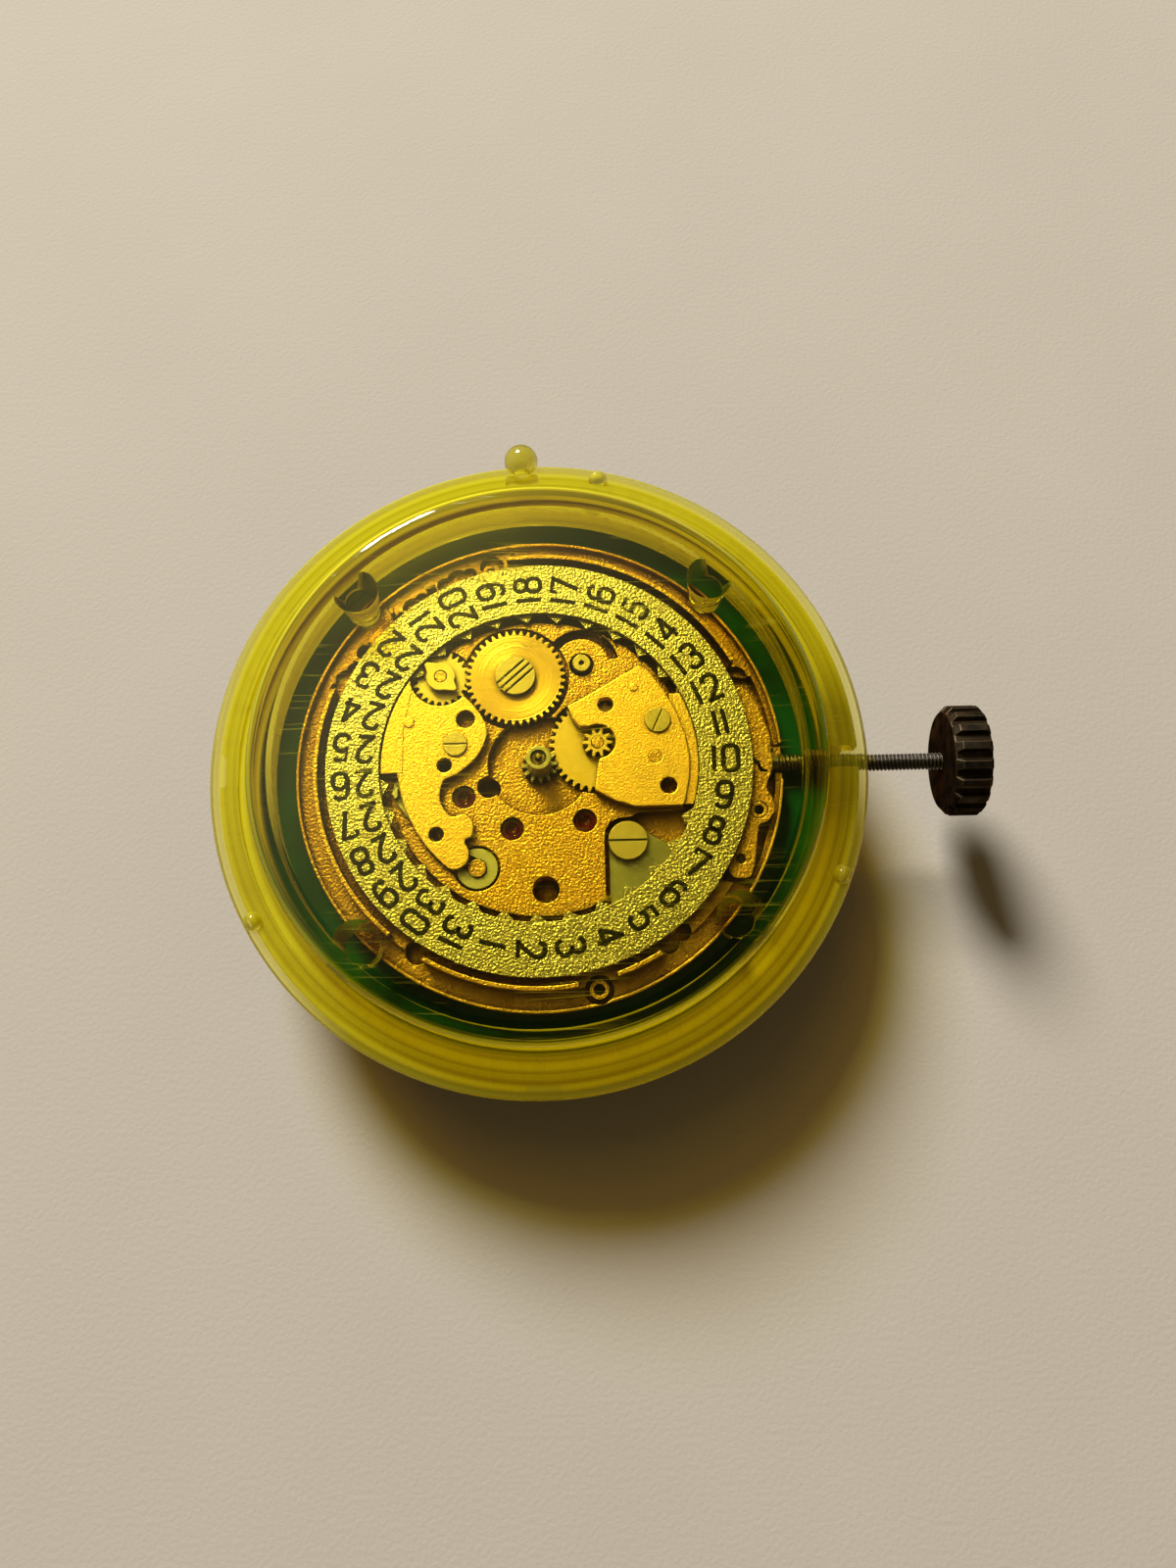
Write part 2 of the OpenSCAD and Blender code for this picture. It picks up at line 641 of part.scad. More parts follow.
module date_drive_wheel() {
    bore_r = 0.6;
    color([0.9, 0.68, 0.12]) at(drive_at) difference() {
        union() {
            gear(drive_teeth, date_m, date_dir, flange_z + 0.15, flange_z + 0.52);
            disc(1.2, flange_z + 0.04, flange_z + 0.2);
        }
        disc(bore_r, 0, 20);
    }
}

module drive_wheel_screw() {
    shoulder_r = 0.55;
    color([0.72, 0.7, 0.5]) at(drive_at) {
        slotted_screw(1.05, shoulder_r, flange_z + 0.56, 0.26, 0.56, 0.13, 3, 42);
        disc(0.3, tray_z + 0.3, flange_z + 0.02);
    }
}

module date_finger_wheel() {
    turn = mesh_turn(date_dir, drive_teeth, date_dir, finger_teeth);
    finger_z = ring_z + tooth_t + 0.04;
    color([0.86, 0.78, 0.3]) at(finger_at) difference() {
        union() {
            gear(finger_teeth, date_m, turn, flange_z + 0.16, flange_z + 0.34);
            disc(0.62, flange_z + 0.3, finger_z + eps);
            plate(finger_z, finger_z + 0.18) {
                circle(r = 0.75);
                for (side = [0, 180])
                    rotate(137 + side)
                        polygon([[0, -0.72], [0.5, -0.52], [1.08, -0.08], [1.1, 0.08], [0.7, 0.3], [0, 0.6]]);
            }
        }
        disc(0.35, 0, 20);
    }
}

module corrector_post() {
    color([0.75, 0.74, 0.6]) at(post_at) difference() {
        disc(0.46, flange_z - 0.3, deck_z + 0.3);
        disc(0.15, deck_z + 0.1, deck_z + 1);
    }
}

// Minute works

module minute_bridge_outline() {
    difference() {
        intersection() {
            circle(r = tooth_tip_r - 0.06);
            polygon([[1.54, 3.0], [2.6, 3.56], [3.68, 4.18], [4.56, 4.72], [5.37, 5.12], [5.82, 4.86],
                [6.55, 3.85], [7.19, 2.63], [7.62, 1.4], [7.82, 0.14], [7.76, -1.0], [7.5, -2.2],
                [7.38, -2.47], [4.92, -2.47], [4.3, -2.25], [3.98, -2.17], [2.88, -1.53], [3.12, 0.0],
                [3.5, 0.4], [2.6, 1.9], [2.15, 1.93], [1.8, 2.34]]);
        }
        at(minute_at) circle(r = 0.95);
        at([3.53, 3.05]) circle(r = 0.42);
        at([6.69, -1.42]) circle(r = 0.45);
        at(right_screw_at) circle(r = 0.36);
        at(setting_at) circle(r = 0.36);
    }
}

module minute_bridge() {
    ledge_z = ring_z + tooth_t + running_gap;
    color([0.9, 0.7, 0.18]) {
        plate(deck_z, deck_z + minute_bridge_t) minute_bridge_outline();
        plate(ledge_z, ledge_z + ledge_t) difference() {
            intersection() {
                circle(r = ring_in_r - 0.06);
                polygon([[6.9, 3.6], [8.2, 3.6], [9, -2.4], [6.9, -2.4]]);
            }
            circle(r = 7.3);
        }
        at([5.03, 3.95]) disc(0.2, deck_z + 0.1, deck_z + minute_bridge_t + 0.05);
    }
}

module minute_wheel() {
    low = flange_z - 0.12;
    color([0.9, 0.76, 0.25]) at(minute_at) difference() {
        union() {
            gear(minute_teeth, minute_m, minute_dir + 180, low, low + 0.22);
            gear(minute_leaves, 0.132, 0, low, deck_z + 0.36);
        }
        disc(0.34, 0, 20);
    }
}

module cannon_pinion() {
    turn = mesh_turn(minute_dir + 180, minute_teeth, minute_dir + 180, cannon_teeth);
    color([0.5, 0.48, 0.4]) difference() {
        union() {
            gear(cannon_teeth, minute_m, turn, flange_z - 0.2, flange_z + 0.3);
            disc(0.62, flange_z - 0.2, rib_z + 0.9);
        }
        disc(0.42, 0, 20);
    }
}

module setting_wheel() {
    turn = mesh_turn(setting_dir, minute_teeth, minute_dir + 180, setting_teeth);
    color([0.75, 0.72, 0.5]) at(setting_at) difference() {
        gear(setting_teeth, minute_m, turn, stem_z - 0.2, flange_z + 0.12);
        disc(0.39, 0, 20);
    }
}

module corrector_lever() {
    low = flange_z - 0.26;
    color([0.5, 0.5, 0.28]) plate(low, low + 0.26) difference() {
        intersection() {
            circle(r = ring_in_r + 0.1);
            polygon(smooth_loop([[3.56, -4.2], [3.85, -3.35], [4.5, -3.1], [5.2, -3.35], [5.75, -3.85],
                [6.4, -4.2], [6.9, -4.5], [7.2, -5.6], [5.6, -7.2], [3.9, -8.2], [3.58, -7.2],
                [3.55, -5.6]], 4));
        }
        at(corrector_at) circle(r = 0.56);
    }
}

module corrector_screw() {
    color([0.66, 0.66, 0.42]) at(corrector_at) {
        slotted_screw(1, 0.5, flange_z + 0.05, 0.3, 0.35, 0.12, 1, 0);
        disc(0.4, tray_z + 0.15, flange_z - 0.25);
    }
}

module bridge_screws() {
    color([0.75, 0.72, 0.45]) {
        at(right_screw_at) slotted_screw(0.66, 0.3, deck_z + minute_bridge_t, 0.12, 1.6, 0.1, 1, 65);
        at(left_screw_at) slotted_screw(0.62, 0.3, deck_z + jumper_plate_t, 0.12, 1.5, 0.1, 1, 0);
    }
}

module dial_jewels() {
    color([0.55, 0.05, 0.12]) for (p = ruby_at)
        at(p) difference() {
            disc(0.6, flange_z - 0.3, flange_z + 0.1);
            disc(0.17, flange_z - 0.1, flange_z + 1);
            translate([0, 0, flange_z + 0.3]) sphere(r = 0.42);
        }
}

// Setting works, stem and crown

module setting_lever() {
    low = flange_z - 0.03;
    color([0.7, 0.68, 0.42]) {
        plate(low, low + 0.17) difference() {
            polygon(smooth_loop([[9.5, 2.75], [10.3, 2.85], [11.2, 2.3], [11.75, 1.3], [11.85, 0.1],
                [11.3, -0.1], [10.9, 0.7], [10.35, 0.1], [9.9, -0.4], [9.45, 0.0], [9.35, 1.2],
                [9.25, 2.1]], 4));
            at(lever_at) circle(r = 0.35);
        }
        translate([lever_at[0], 0, 0]) disc(0.16, stem_z + stem_r - 0.16, low + eps);
    }
}

// Gilt spring plate that covers the setting works and shows outside the date ring
module setting_jumper() {
    color([0.9, 0.7, 0.18]) plate(deck_z - 0.13, ring_z - 0.04) difference() {
        polygon(smooth_loop([[10.55, 3.95], [11.0, 3.9], [11.35, 3.3], [11.6, 2.85], [11.95, 1.9],
            [12.15, 1.2], [12.1, 0.5], [12.2, 0.0], [12.1, -0.7], [11.85, -1.2], [11.8, -1.6],
            [12.05, -2.1], [12.1, -2.75], [11.75, -3.3], [11.3, -3.5], [11.15, -4.2], [11.0, -5.2],
            [10.75, -6.1], [10.3, -6.25], [9.75, -6.1], [9.6, -5.3], [9.9, -4.0], [10.2, -2.4],
            [10.25, -0.6], [10.3, 1.2], [10.3, 2.6]], 4));
        at(eyelet_at) circle(r = 0.47);
        at([10.25, -5.25]) circle(r = 0.28);
        polygon([[11.2, 0.1], [11.5, -0.1], [11.65, -0.5], [11.95, -0.55], [11.9, -0.7], [11.5, -0.65],
            [11.4, -0.3], [11.15, -0.1]]);
    }
}

module yoke() {
    low = stem_z - 0.1;
    color([0.68, 0.66, 0.42]) {
        plate(low, low + 0.2) difference() {
            polygon(smooth_loop([[9.75, -5.9], [10.6, -5.6], [10.7, -4.8], [10.0, -3.6], [8.9, -2.0],
                [8.3, -1.0], [8.1, -0.72], [7.9, -0.72], [7.85, -1.1], [8.2, -2.2], [8.9, -3.7],
                [9.5, -5.0]], 4));
            at(yoke_at) circle(r = 0.3);
        }
        at(yoke_at) tube(0.42, 0.3, tray_z + 0.1, low + eps);
    }
}

module along_x(x) {
    translate([x, 0, stem_z]) rotate([0, 90, 0]) children();
}

module clutch_wheel() {
    clutch_r = 0.8;
    color([0.72, 0.7, 0.6]) difference() {
        union() {
            along_x(7.25) cylinder(r = clutch_r, h = 0.6);
            along_x(7.25) cylinder(r = 0.56, h = 1.5);
            along_x(8.15) cylinder(r = clutch_r, h = 0.6);
            for (i = [0 : 11])
                along_x(7.07) rotate(i * 30) translate([0.5, -0.09, 0]) cube([0.24, 0.18, 0.2]);
        }
        translate([7, -0.34, stem_z - 0.34]) cube([2, 0.68, 0.68]);
    }
}

module winding_stem() {
    end_x = plate_r + stem_reach;
    color([0.3, 0.28, 0.24]) difference() {
        union() {
            translate([7.35, -0.3, stem_z - 0.3]) cube([2.1, 0.6, 0.6]);
            along_x(9.35) cylinder(r = stem_r, h = end_x - 9.35 + crown_l * 0.6);
        }
        along_x(lever_at[0] - 0.24) difference() {
            cylinder(r = stem_r + 1, h = 0.48);
            translate([0, 0, -eps]) cylinder(r = 0.26, h = 0.48 + 2 * eps);
        }
    }
}

module crown() {
    chamfer = 0.34;
    face_x = plate_r + stem_reach;
    color([0.16, 0.13, 0.09]) difference() {
        intersection() {
            along_x(face_x) linear_extrude(height = crown_l)
                polygon([for (i = [0 : crown_ribs - 1], k = [[-0.3, 0], [-0.2, 1], [0.2, 1], [0.3, 0]])
                    (crown_r - (1 - k[1]) * rib_depth)
                    * [cos((i + k[0]) * 360 / crown_ribs), sin((i + k[0]) * 360 / crown_ribs)]]);
            along_x(face_x) rotate_extrude() polygon([[0, 0], [crown_r - chamfer, 0],
                [crown_r + 0.01, chamfer], [crown_r + 0.01, crown_l - chamfer * 0.6],
                [crown_r - chamfer * 0.6, crown_l], [0, crown_l]]);
        }
        along_x(face_x - eps) cylinder(r = stem_r + 0.01, h = crown_l * 0.62 + eps);
    }
}

// Back of the movement

module train_bridge_outline() {
    hull() {
        circle(r = 2.4, $fn = 32);
        at(third_at) circle(r = 2.9, $fn = 32);
        at(bridge_screws_at[1]) circle(r = 1, $fn = 32);
    }
    hull() {
        at(rotor_at) circle(r = 1.9, $fn = 32);
        at(bridge_screws_at[2]) circle(r = 1, $fn = 32);
        at(step_at) circle(r = 2, $fn = 32);
    }
    hull() {
        circle(r = 2.2, $fn = 32);
        at(bridge_screws_at[0]) circle(r = 1, $fn = 32);
    }
}

module train_bridge() {
    color([0.84, 0.66, 0.2]) difference() {
        plate(bridge_z, back_z) train_bridge_outline();
        for (p = bridge_screws_at) at(p) disc(0.36, bridge_z - 1, back_z + 1);
        for (p = [[0, 0], third_at, step_at, rotor_at]) at(p) disc(0.45, bridge_z - 1, back_z + 1);
    }
}

module arbor(r, z0, z1) {
    disc(r, z0, z1);
}

module rotor() {
    turn = mesh_turn(rotor_dir, step_teeth, rotor_dir, rotor_leaves);
    color([0.35, 0.35, 0.38]) at(rotor_at) {
        gear(rotor_leaves, fast_module, turn, step_z - 0.05, step_z + wheel_t + 0.1);
        disc(0.2, step_z, stator_z - 0.2);
        disc(0.7, stator_z - 0.25, stator_z + 0.55);
        arbor(0.08, bridge_z + 0.15, pocket_z - eps);
    }
}

module step_wheel() {
    pinion_turn = mesh_turn(step_dir, seconds_teeth, step_dir, step_leaves);
    color([0.86, 0.7, 0.25]) at(step_at) {
        gear(step_teeth, fast_module, rotor_dir, step_z, step_z + wheel_t);
        gear(step_leaves, seconds_module, pinion_turn, step_z, seconds_z + wheel_t + 0.05);
        arbor(0.08, bridge_z + 0.15, centre_z - 0.1);
    }
}

module seconds_wheel() {
    color([0.86, 0.7, 0.25]) {
        gear(seconds_teeth, seconds_module, step_dir, seconds_z, seconds_z + wheel_t);
        gear(seconds_leaves, fast_module, third_dir, seconds_z, third_z + wheel_t + 0.05);
        arbor(0.08, bridge_z + 0.15, tray_z - 1);
        arbor(0.11, tray_z - 1, rib_z + 1.2);
    }
}

module third_wheel() {
    turn = mesh_turn(third_dir, seconds_leaves, third_dir, third_teeth);
    color([0.86, 0.7, 0.25]) at(third_at) {
        gear(third_teeth, fast_module, turn, third_z, third_z + wheel_t);
        gear(third_leaves, slow_module, third_dir, third_z, centre_z + wheel_t + 0.05);
        arbor(0.08, bridge_z + 0.15, pocket_z - eps);
    }
}

module centre_wheel() {
    turn = mesh_turn(third_dir + 180, third_leaves, third_dir, centre_teeth);
    color([0.88, 0.72, 0.2]) difference() {
        union() {
            gear(centre_teeth, slow_module, turn, centre_z, centre_z + wheel_t);
            disc(0.56, centre_z, flange_z - 0.24);
            disc(0.38, centre_z, rib_z + 0.7);
        }
        disc(0.17, 0, 20);
    }
}

module stator() {
    color([0.6, 0.6, 0.62]) difference() {
        plate(stator_z, stator_z + 0.3) {
            polygon([[left_leg - 0.95, -8.5], [left_leg, -8.5], [left_leg, -6.5], [4.5, -2.6], [3.5, -1.8],
                [left_leg - 0.95, -6.4]]);
            polygon([[right_leg, -8.5], [right_leg + 1, -8.5], [right_leg + 1, -6.4], [6.0, -1.8],
                [5.0, -2.6], [right_leg, -6.5]]);
            at(rotor_at) circle(r = 1.5);
        }
        at(rotor_at) disc(0.85, 0, 20);
        for (x = pin_xs) translate([x, coil_at[1], 0]) disc(0.22, 0, 20);
    }
}

module coil_core() {
    color([0.55, 0.55, 0.58]) {
        translate([left_leg - 0.85, coil_at[1] - 0.35, stator_z - 0.3])
            cube([right_leg - left_leg + 1.8, 0.7, 0.3]);
        for (x = pin_xs) translate([x, coil_at[1], 0]) disc(0.2, stator_z - 0.1, stator_z + 0.3);
    }
}

module coil_winding() {
    turns = 14;
    pitch = coil_l / turns;
    color([0.72, 0.36, 0.14]) difference() {
        translate([coil_at[0], coil_at[1], coil_z]) rotate([0, 90, 0]) rotate_extrude()
            polygon(concat([[0, -coil_l / 2]],
                [for (i = [0 : turns - 1], s = [0, 0.25, 0.75])
                    [coil_r - (s == 0 ? 0.08 : 0), -coil_l / 2 + (i + s) * pitch]],
                [[coil_r - 0.08, coil_l / 2], [0, coil_l / 2]]));
        translate([0, coil_at[1] - 0.36, coil_z - 0.16]) cube([9, 0.72, 0.32]);
    }
}

module circuit_board() {
    color([0.1, 0.32, 0.16]) difference() {
        plate(board_z, board_z + 0.3) board_outline(0);
        for (p = board_screws_at) at(p) disc(0.36, 0, 20);
        at(trimmer_at) disc(0.5, 0, 20);
    }
}

module ic_block() {
    color([0.05, 0.05, 0.05]) translate([ic_at[0] - 2, ic_at[1] - 1.4, board_z + 0.3])
        cube([4, 2.8, 1.1]);
}

module crystal_can() {
    z = board_z + 0.3 + crystal_r;
    color([0.75, 0.76, 0.78]) translate([crystal_at[0], crystal_at[1], z]) rotate(crystal_turn)
        rotate([0, 90, 0]) translate([0, 0, -crystal_l / 2]) {
            cylinder(r = crystal_r, h = crystal_l);
            cylinder(r = crystal_r * 0.75, h = crystal_l + 0.2);
        }
}

module trimmer() {
    color([0.8, 0.8, 0.76]) at(trimmer_at) difference() {
        union() {
            disc(1.15, board_z + 0.3, board_z + 1.1);
            disc(0.45, board_z - 0.05, board_z + 0.4);
        }
        translate([-0.4, -0.08, board_z - 1]) cube([0.8, 0.16, 1.1]);
    }
}

module battery_cell() {
    lip = 0.35;
    color([0.75, 0.75, 0.76]) at(cell_at) {
        disc(cell_r, cell_z, cell_z + cell_t - lip);
        disc(cell_r - 0.6, cell_z, cell_z + cell_t);
    }
}

module battery_cup() {
    color([0.15, 0.15, 0.16]) at(cell_at) difference() {
        disc(cell_r + 0.25, back_z, tray_z - 0.4);
        disc(cell_r + 0.05, back_z - 1, tray_z - 0.45);
    }
}

module battery_clamp() {
    screw_at = board_screws_at[0];
    color([0.8, 0.76, 0.5]) difference() {
        union() {
            plate(cell_z - 0.15, cell_z) at(screw_at + [9.6, -0.6]) polygon(smooth_loop([[-9.9, 1.5], [-9.0, 1.1], [-8.2, -1.5],
                [-5.6, -3.2], [-4.6, -4.6], [-5.0, -5.9], [-6.2, -6.0], [-7.0, -4.6], [-9.2, -1.8],
                [-10.4, 0.4]], 4));
            at(screw_at) disc(0.7, cell_z - 0.15, board_z);
        }
        at(screw_at) disc(0.36, 0, 20);
    }
}

module back_screws() {
    color([0.7, 0.7, 0.72]) {
        for (p = bridge_screws_at)
            at(p) mirror([0, 0, 1]) slotted_screw(0.62, 0.3, -bridge_z, 0.16, 1.2, 0.12, 1, p[0] * 20);
        at(board_screws_at[0]) mirror([0, 0, 1])
            slotted_screw(0.62, 0.3, -cell_z + 0.15, 0.12, 1.95, 0.12, 1, 30);
        at(board_screws_at[1]) mirror([0, 0, 1])
            slotted_screw(0.62, 0.3, -board_z, 0.2, 1, 0.12, 1, 80);
    }
}

module back_jewels() {
    color([0.55, 0.05, 0.12]) for (p = [[0, 0], third_at, step_at, rotor_at])
        at(p) difference() {
            disc(0.45, bridge_z, back_z);
            disc(0.1, bridge_z - 1, back_z + 1);
        }
}

capsule_base();
holder_tray();
capsule_lid();
main_plate();
date_ring();
minute_bridge();
jumper_plate();
date_jumper();
jumper_spring();
date_drive_wheel();
drive_wheel_screw();
date_finger_wheel();
corrector_post();
minute_wheel();
cannon_pinion();
setting_wheel();
corrector_lever();
corrector_screw();
bridge_screws();
dial_jewels();
setting_lever();
setting_jumper();
yoke();
clutch_wheel();
winding_stem();
crown();
train_bridge();
rotor();
step_wheel();
seconds_wheel();
third_wheel();
centre_wheel();
stator();
coil_core();
coil_winding();
circuit_board();
ic_block();
crystal_can();
trimmer();
battery_cell();
battery_cup();
battery_clamp();
back_screws();
back_jewels();
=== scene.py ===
# %% [markdown]
# # A watch movement in its storage capsule
# The solids of this object come from its CAD model: a gilt movement with a date ring,
# lying in a green holder inside a clear yellow capsule. This lesson dresses them. It adds
# the pieces that are too fine for CAD, gives every piece a finish made of nodes, and then
# sets up the table, the light and the camera.

import math

import bmesh
import bpy
from mathutils import Matrix, Vector


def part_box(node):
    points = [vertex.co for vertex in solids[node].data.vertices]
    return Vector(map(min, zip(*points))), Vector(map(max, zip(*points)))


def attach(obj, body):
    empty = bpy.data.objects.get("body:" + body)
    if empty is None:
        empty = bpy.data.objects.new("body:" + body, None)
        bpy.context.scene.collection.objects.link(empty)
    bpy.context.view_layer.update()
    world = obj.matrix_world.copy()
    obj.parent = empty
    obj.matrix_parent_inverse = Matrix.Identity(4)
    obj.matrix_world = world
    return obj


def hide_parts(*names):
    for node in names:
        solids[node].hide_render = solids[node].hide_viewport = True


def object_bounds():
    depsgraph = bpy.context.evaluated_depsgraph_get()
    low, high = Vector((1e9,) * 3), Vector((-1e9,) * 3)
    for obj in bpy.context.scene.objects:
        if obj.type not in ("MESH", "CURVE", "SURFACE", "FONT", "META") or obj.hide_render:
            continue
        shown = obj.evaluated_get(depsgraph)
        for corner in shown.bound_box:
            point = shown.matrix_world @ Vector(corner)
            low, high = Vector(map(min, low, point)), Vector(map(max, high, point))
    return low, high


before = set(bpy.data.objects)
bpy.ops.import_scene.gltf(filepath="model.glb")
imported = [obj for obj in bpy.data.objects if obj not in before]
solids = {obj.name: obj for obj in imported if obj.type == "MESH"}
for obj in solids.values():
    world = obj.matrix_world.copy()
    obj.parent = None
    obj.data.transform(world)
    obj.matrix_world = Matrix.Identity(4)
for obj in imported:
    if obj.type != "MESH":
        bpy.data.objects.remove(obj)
cad_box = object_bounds()
box_mm = [round(value * 1000, 2) for corner in cad_box for value in corner]
print(len(solids), "solids, box in mm:", box_mm)

# %% [markdown]
# Watchmakers think in millimetres and Blender works in metres. The object's lengths are
# typed in millimetres here and carry one factor. Only the lamp's distance and size, the
# paper's width and the distances at which double points merge are in metres. The heights
# come from the solids themselves, so a piece made here follows the CAD model when it
# changes.

# %% Lengths and heights
MM = 0.001
PER_METRE = 1000.0
MERGE = 1e-7


def mm(x, y, z):
    return Vector((x, y, z)) * MM


ring_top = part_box("date_ring")[1].z
stem_low, stem_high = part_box("winding_stem")
stem_z = (stem_low.z + stem_high.z) / 2
crown_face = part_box("crown")[0].x
print("date ring top", round(ring_top / MM, 2), "mm, stem axis", round(stem_z / MM, 2), "mm")

# %% [markdown]
# A piece that bmesh builds has to become an object and ride on a body of the CAD model,
# and later it takes a finish of its own. The first two steps are the same each time, so
# they share a helper. It also keeps the faces flat, because a mesh that was converted from
# text is shaded smooth and would round off the printed digits.

# %% Turn a bmesh into a piece


def make_piece(name, bm, body):
    mesh = bpy.data.meshes.new(name)
    bm.to_mesh(mesh)
    bm.free()
    mesh.shade_flat()
    piece = bpy.data.objects.new(name, mesh)
    bpy.context.scene.collection.objects.link(piece)
    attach(piece, body)
    print(name, len(mesh.polygons), "faces")
    return piece


# %% [markdown]
# The winding stem ends in a square that drives the clutch wheel. Behind it lies a turned
# neck with a groove for the setting lever. The square is a cube that is scaled and moved.
# The neck is a lathe shape: its outline is drawn once and spun round the stem's axis.

# %% The stem's square and neck
SQUARE = 0.6
SQUARE_START, SQUARE_LENGTH = 7.35, 2.05
SQUARE_BEVEL = 0.04
STEM_R = 0.45
GROOVE_R = 0.26
THREAD_ROOT_R = 0.37
LATHE_STEPS = 48


def spin_outline(bm, outline):
    """Spins an outline of (along, radius) points round the stem's axis."""
    verts = [bm.verts.new(mm(x, 0, r) + Vector((0, 0, stem_z))) for x, r in outline]
    edges = [bm.edges.new(pair) for pair in zip(verts, verts[1:])]
    bmesh.ops.spin(bm, geom=verts + edges, cent=(0, 0, stem_z), axis=(1, 0, 0),
                   dvec=(0, 0, 0), angle=math.tau, steps=LATHE_STEPS, use_merge=True)
    bmesh.ops.remove_doubles(bm, verts=bm.verts, dist=MERGE)


stem = bmesh.new()
square = bmesh.ops.create_cube(stem, size=1)["verts"]
bmesh.ops.scale(stem, verts=square, vec=mm(SQUARE_LENGTH, SQUARE, SQUARE))
bmesh.ops.translate(stem, verts=square, vec=mm(SQUARE_START + SQUARE_LENGTH / 2, 0, 0)
                    + Vector((0, 0, stem_z)))
bmesh.ops.bevel(stem, geom=list(stem.edges), offset=SQUARE_BEVEL * MM, offset_type="OFFSET",
                affect="EDGES", segments=2, profile=0.5, material=-1)
neck = bmesh.new()
spin_outline(neck, [(9.35, 0), (9.35, 0.4), (9.4, STEM_R), (9.66, STEM_R), (9.66, GROOVE_R),
                    (10.14, GROOVE_R), (10.14, STEM_R), (12.55, STEM_R),
                    (12.65, THREAD_ROOT_R), (12.65, 0)])
neck_mesh = bpy.data.meshes.new("neck")
neck.to_mesh(neck_mesh)
neck.free()
stem.from_mesh(neck_mesh)
print("square and neck:", len(stem.faces), "faces")

# %% [markdown]
# The thread of a stem is a true helix. One tooth of its profile is drawn, and spin moves
# it along the axis a little at each step. The end of one turn then meets the start of the
# next, so the doubles merge and only the two ends stay open, to be filled.

# %% The stem's thread
PITCH = 0.2
STEPS_PER_TURN = 20
THREAD_START = 12.6
THREAD_IN_CROWN = 0.9
TURN_MERGE = 2e-6
turns = int((crown_face / MM + THREAD_IN_CROWN - THREAD_START) / PITCH)
thread = bmesh.new()
profile = [(0, THREAD_ROOT_R), (0.42, STEM_R), (0.58, STEM_R), (1, THREAD_ROOT_R)]
verts = [thread.verts.new(mm(THREAD_START + t * PITCH, 0, r) + Vector((0, 0, stem_z)))
         for t, r in profile]
edges = [thread.edges.new(pair) for pair in zip(verts, verts[1:])]
bmesh.ops.spin(thread, geom=verts + edges, cent=(0, 0, stem_z), axis=(1, 0, 0),
               dvec=(PITCH * MM / STEPS_PER_TURN, 0, 0), angle=math.tau * turns,
               steps=STEPS_PER_TURN * turns, use_merge=False)
bmesh.ops.remove_doubles(thread, verts=thread.verts, dist=TURN_MERGE)
bmesh.ops.holes_fill(thread, edges=[e for e in thread.edges if e.is_boundary], sides=0)
thread_mesh = bpy.data.meshes.new("thread")
thread.to_mesh(thread_mesh)
thread.free()
stem.from_mesh(thread_mesh)
bmesh.ops.recalc_face_normals(stem, faces=stem.faces)
stem_piece = make_piece("stem_turned", stem, "stem")
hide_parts("winding_stem")
print("thread of", turns, "turns")

# %% [markdown]
# The numbers 1 to 31 are printed on the date ring. Print has almost no thickness, but it
# has a stroke width. Each digit is drawn as one to three strokes in a unit square: "smooth"
# points bend the line and "corner" points break it. Blender's curve turns the strokes into
# tubes, and these are pressed nearly flat, so each digit is a thin raised film of ink.

# %% Strokes of the ten digits
SMOOTH = "AUTO"
CORNER = "VECTOR"


def smooth(*points):
    return [(x, y, SMOOTH) for x, y in points]


def corner(*points):
    return [(x, y, CORNER) for x, y in points]


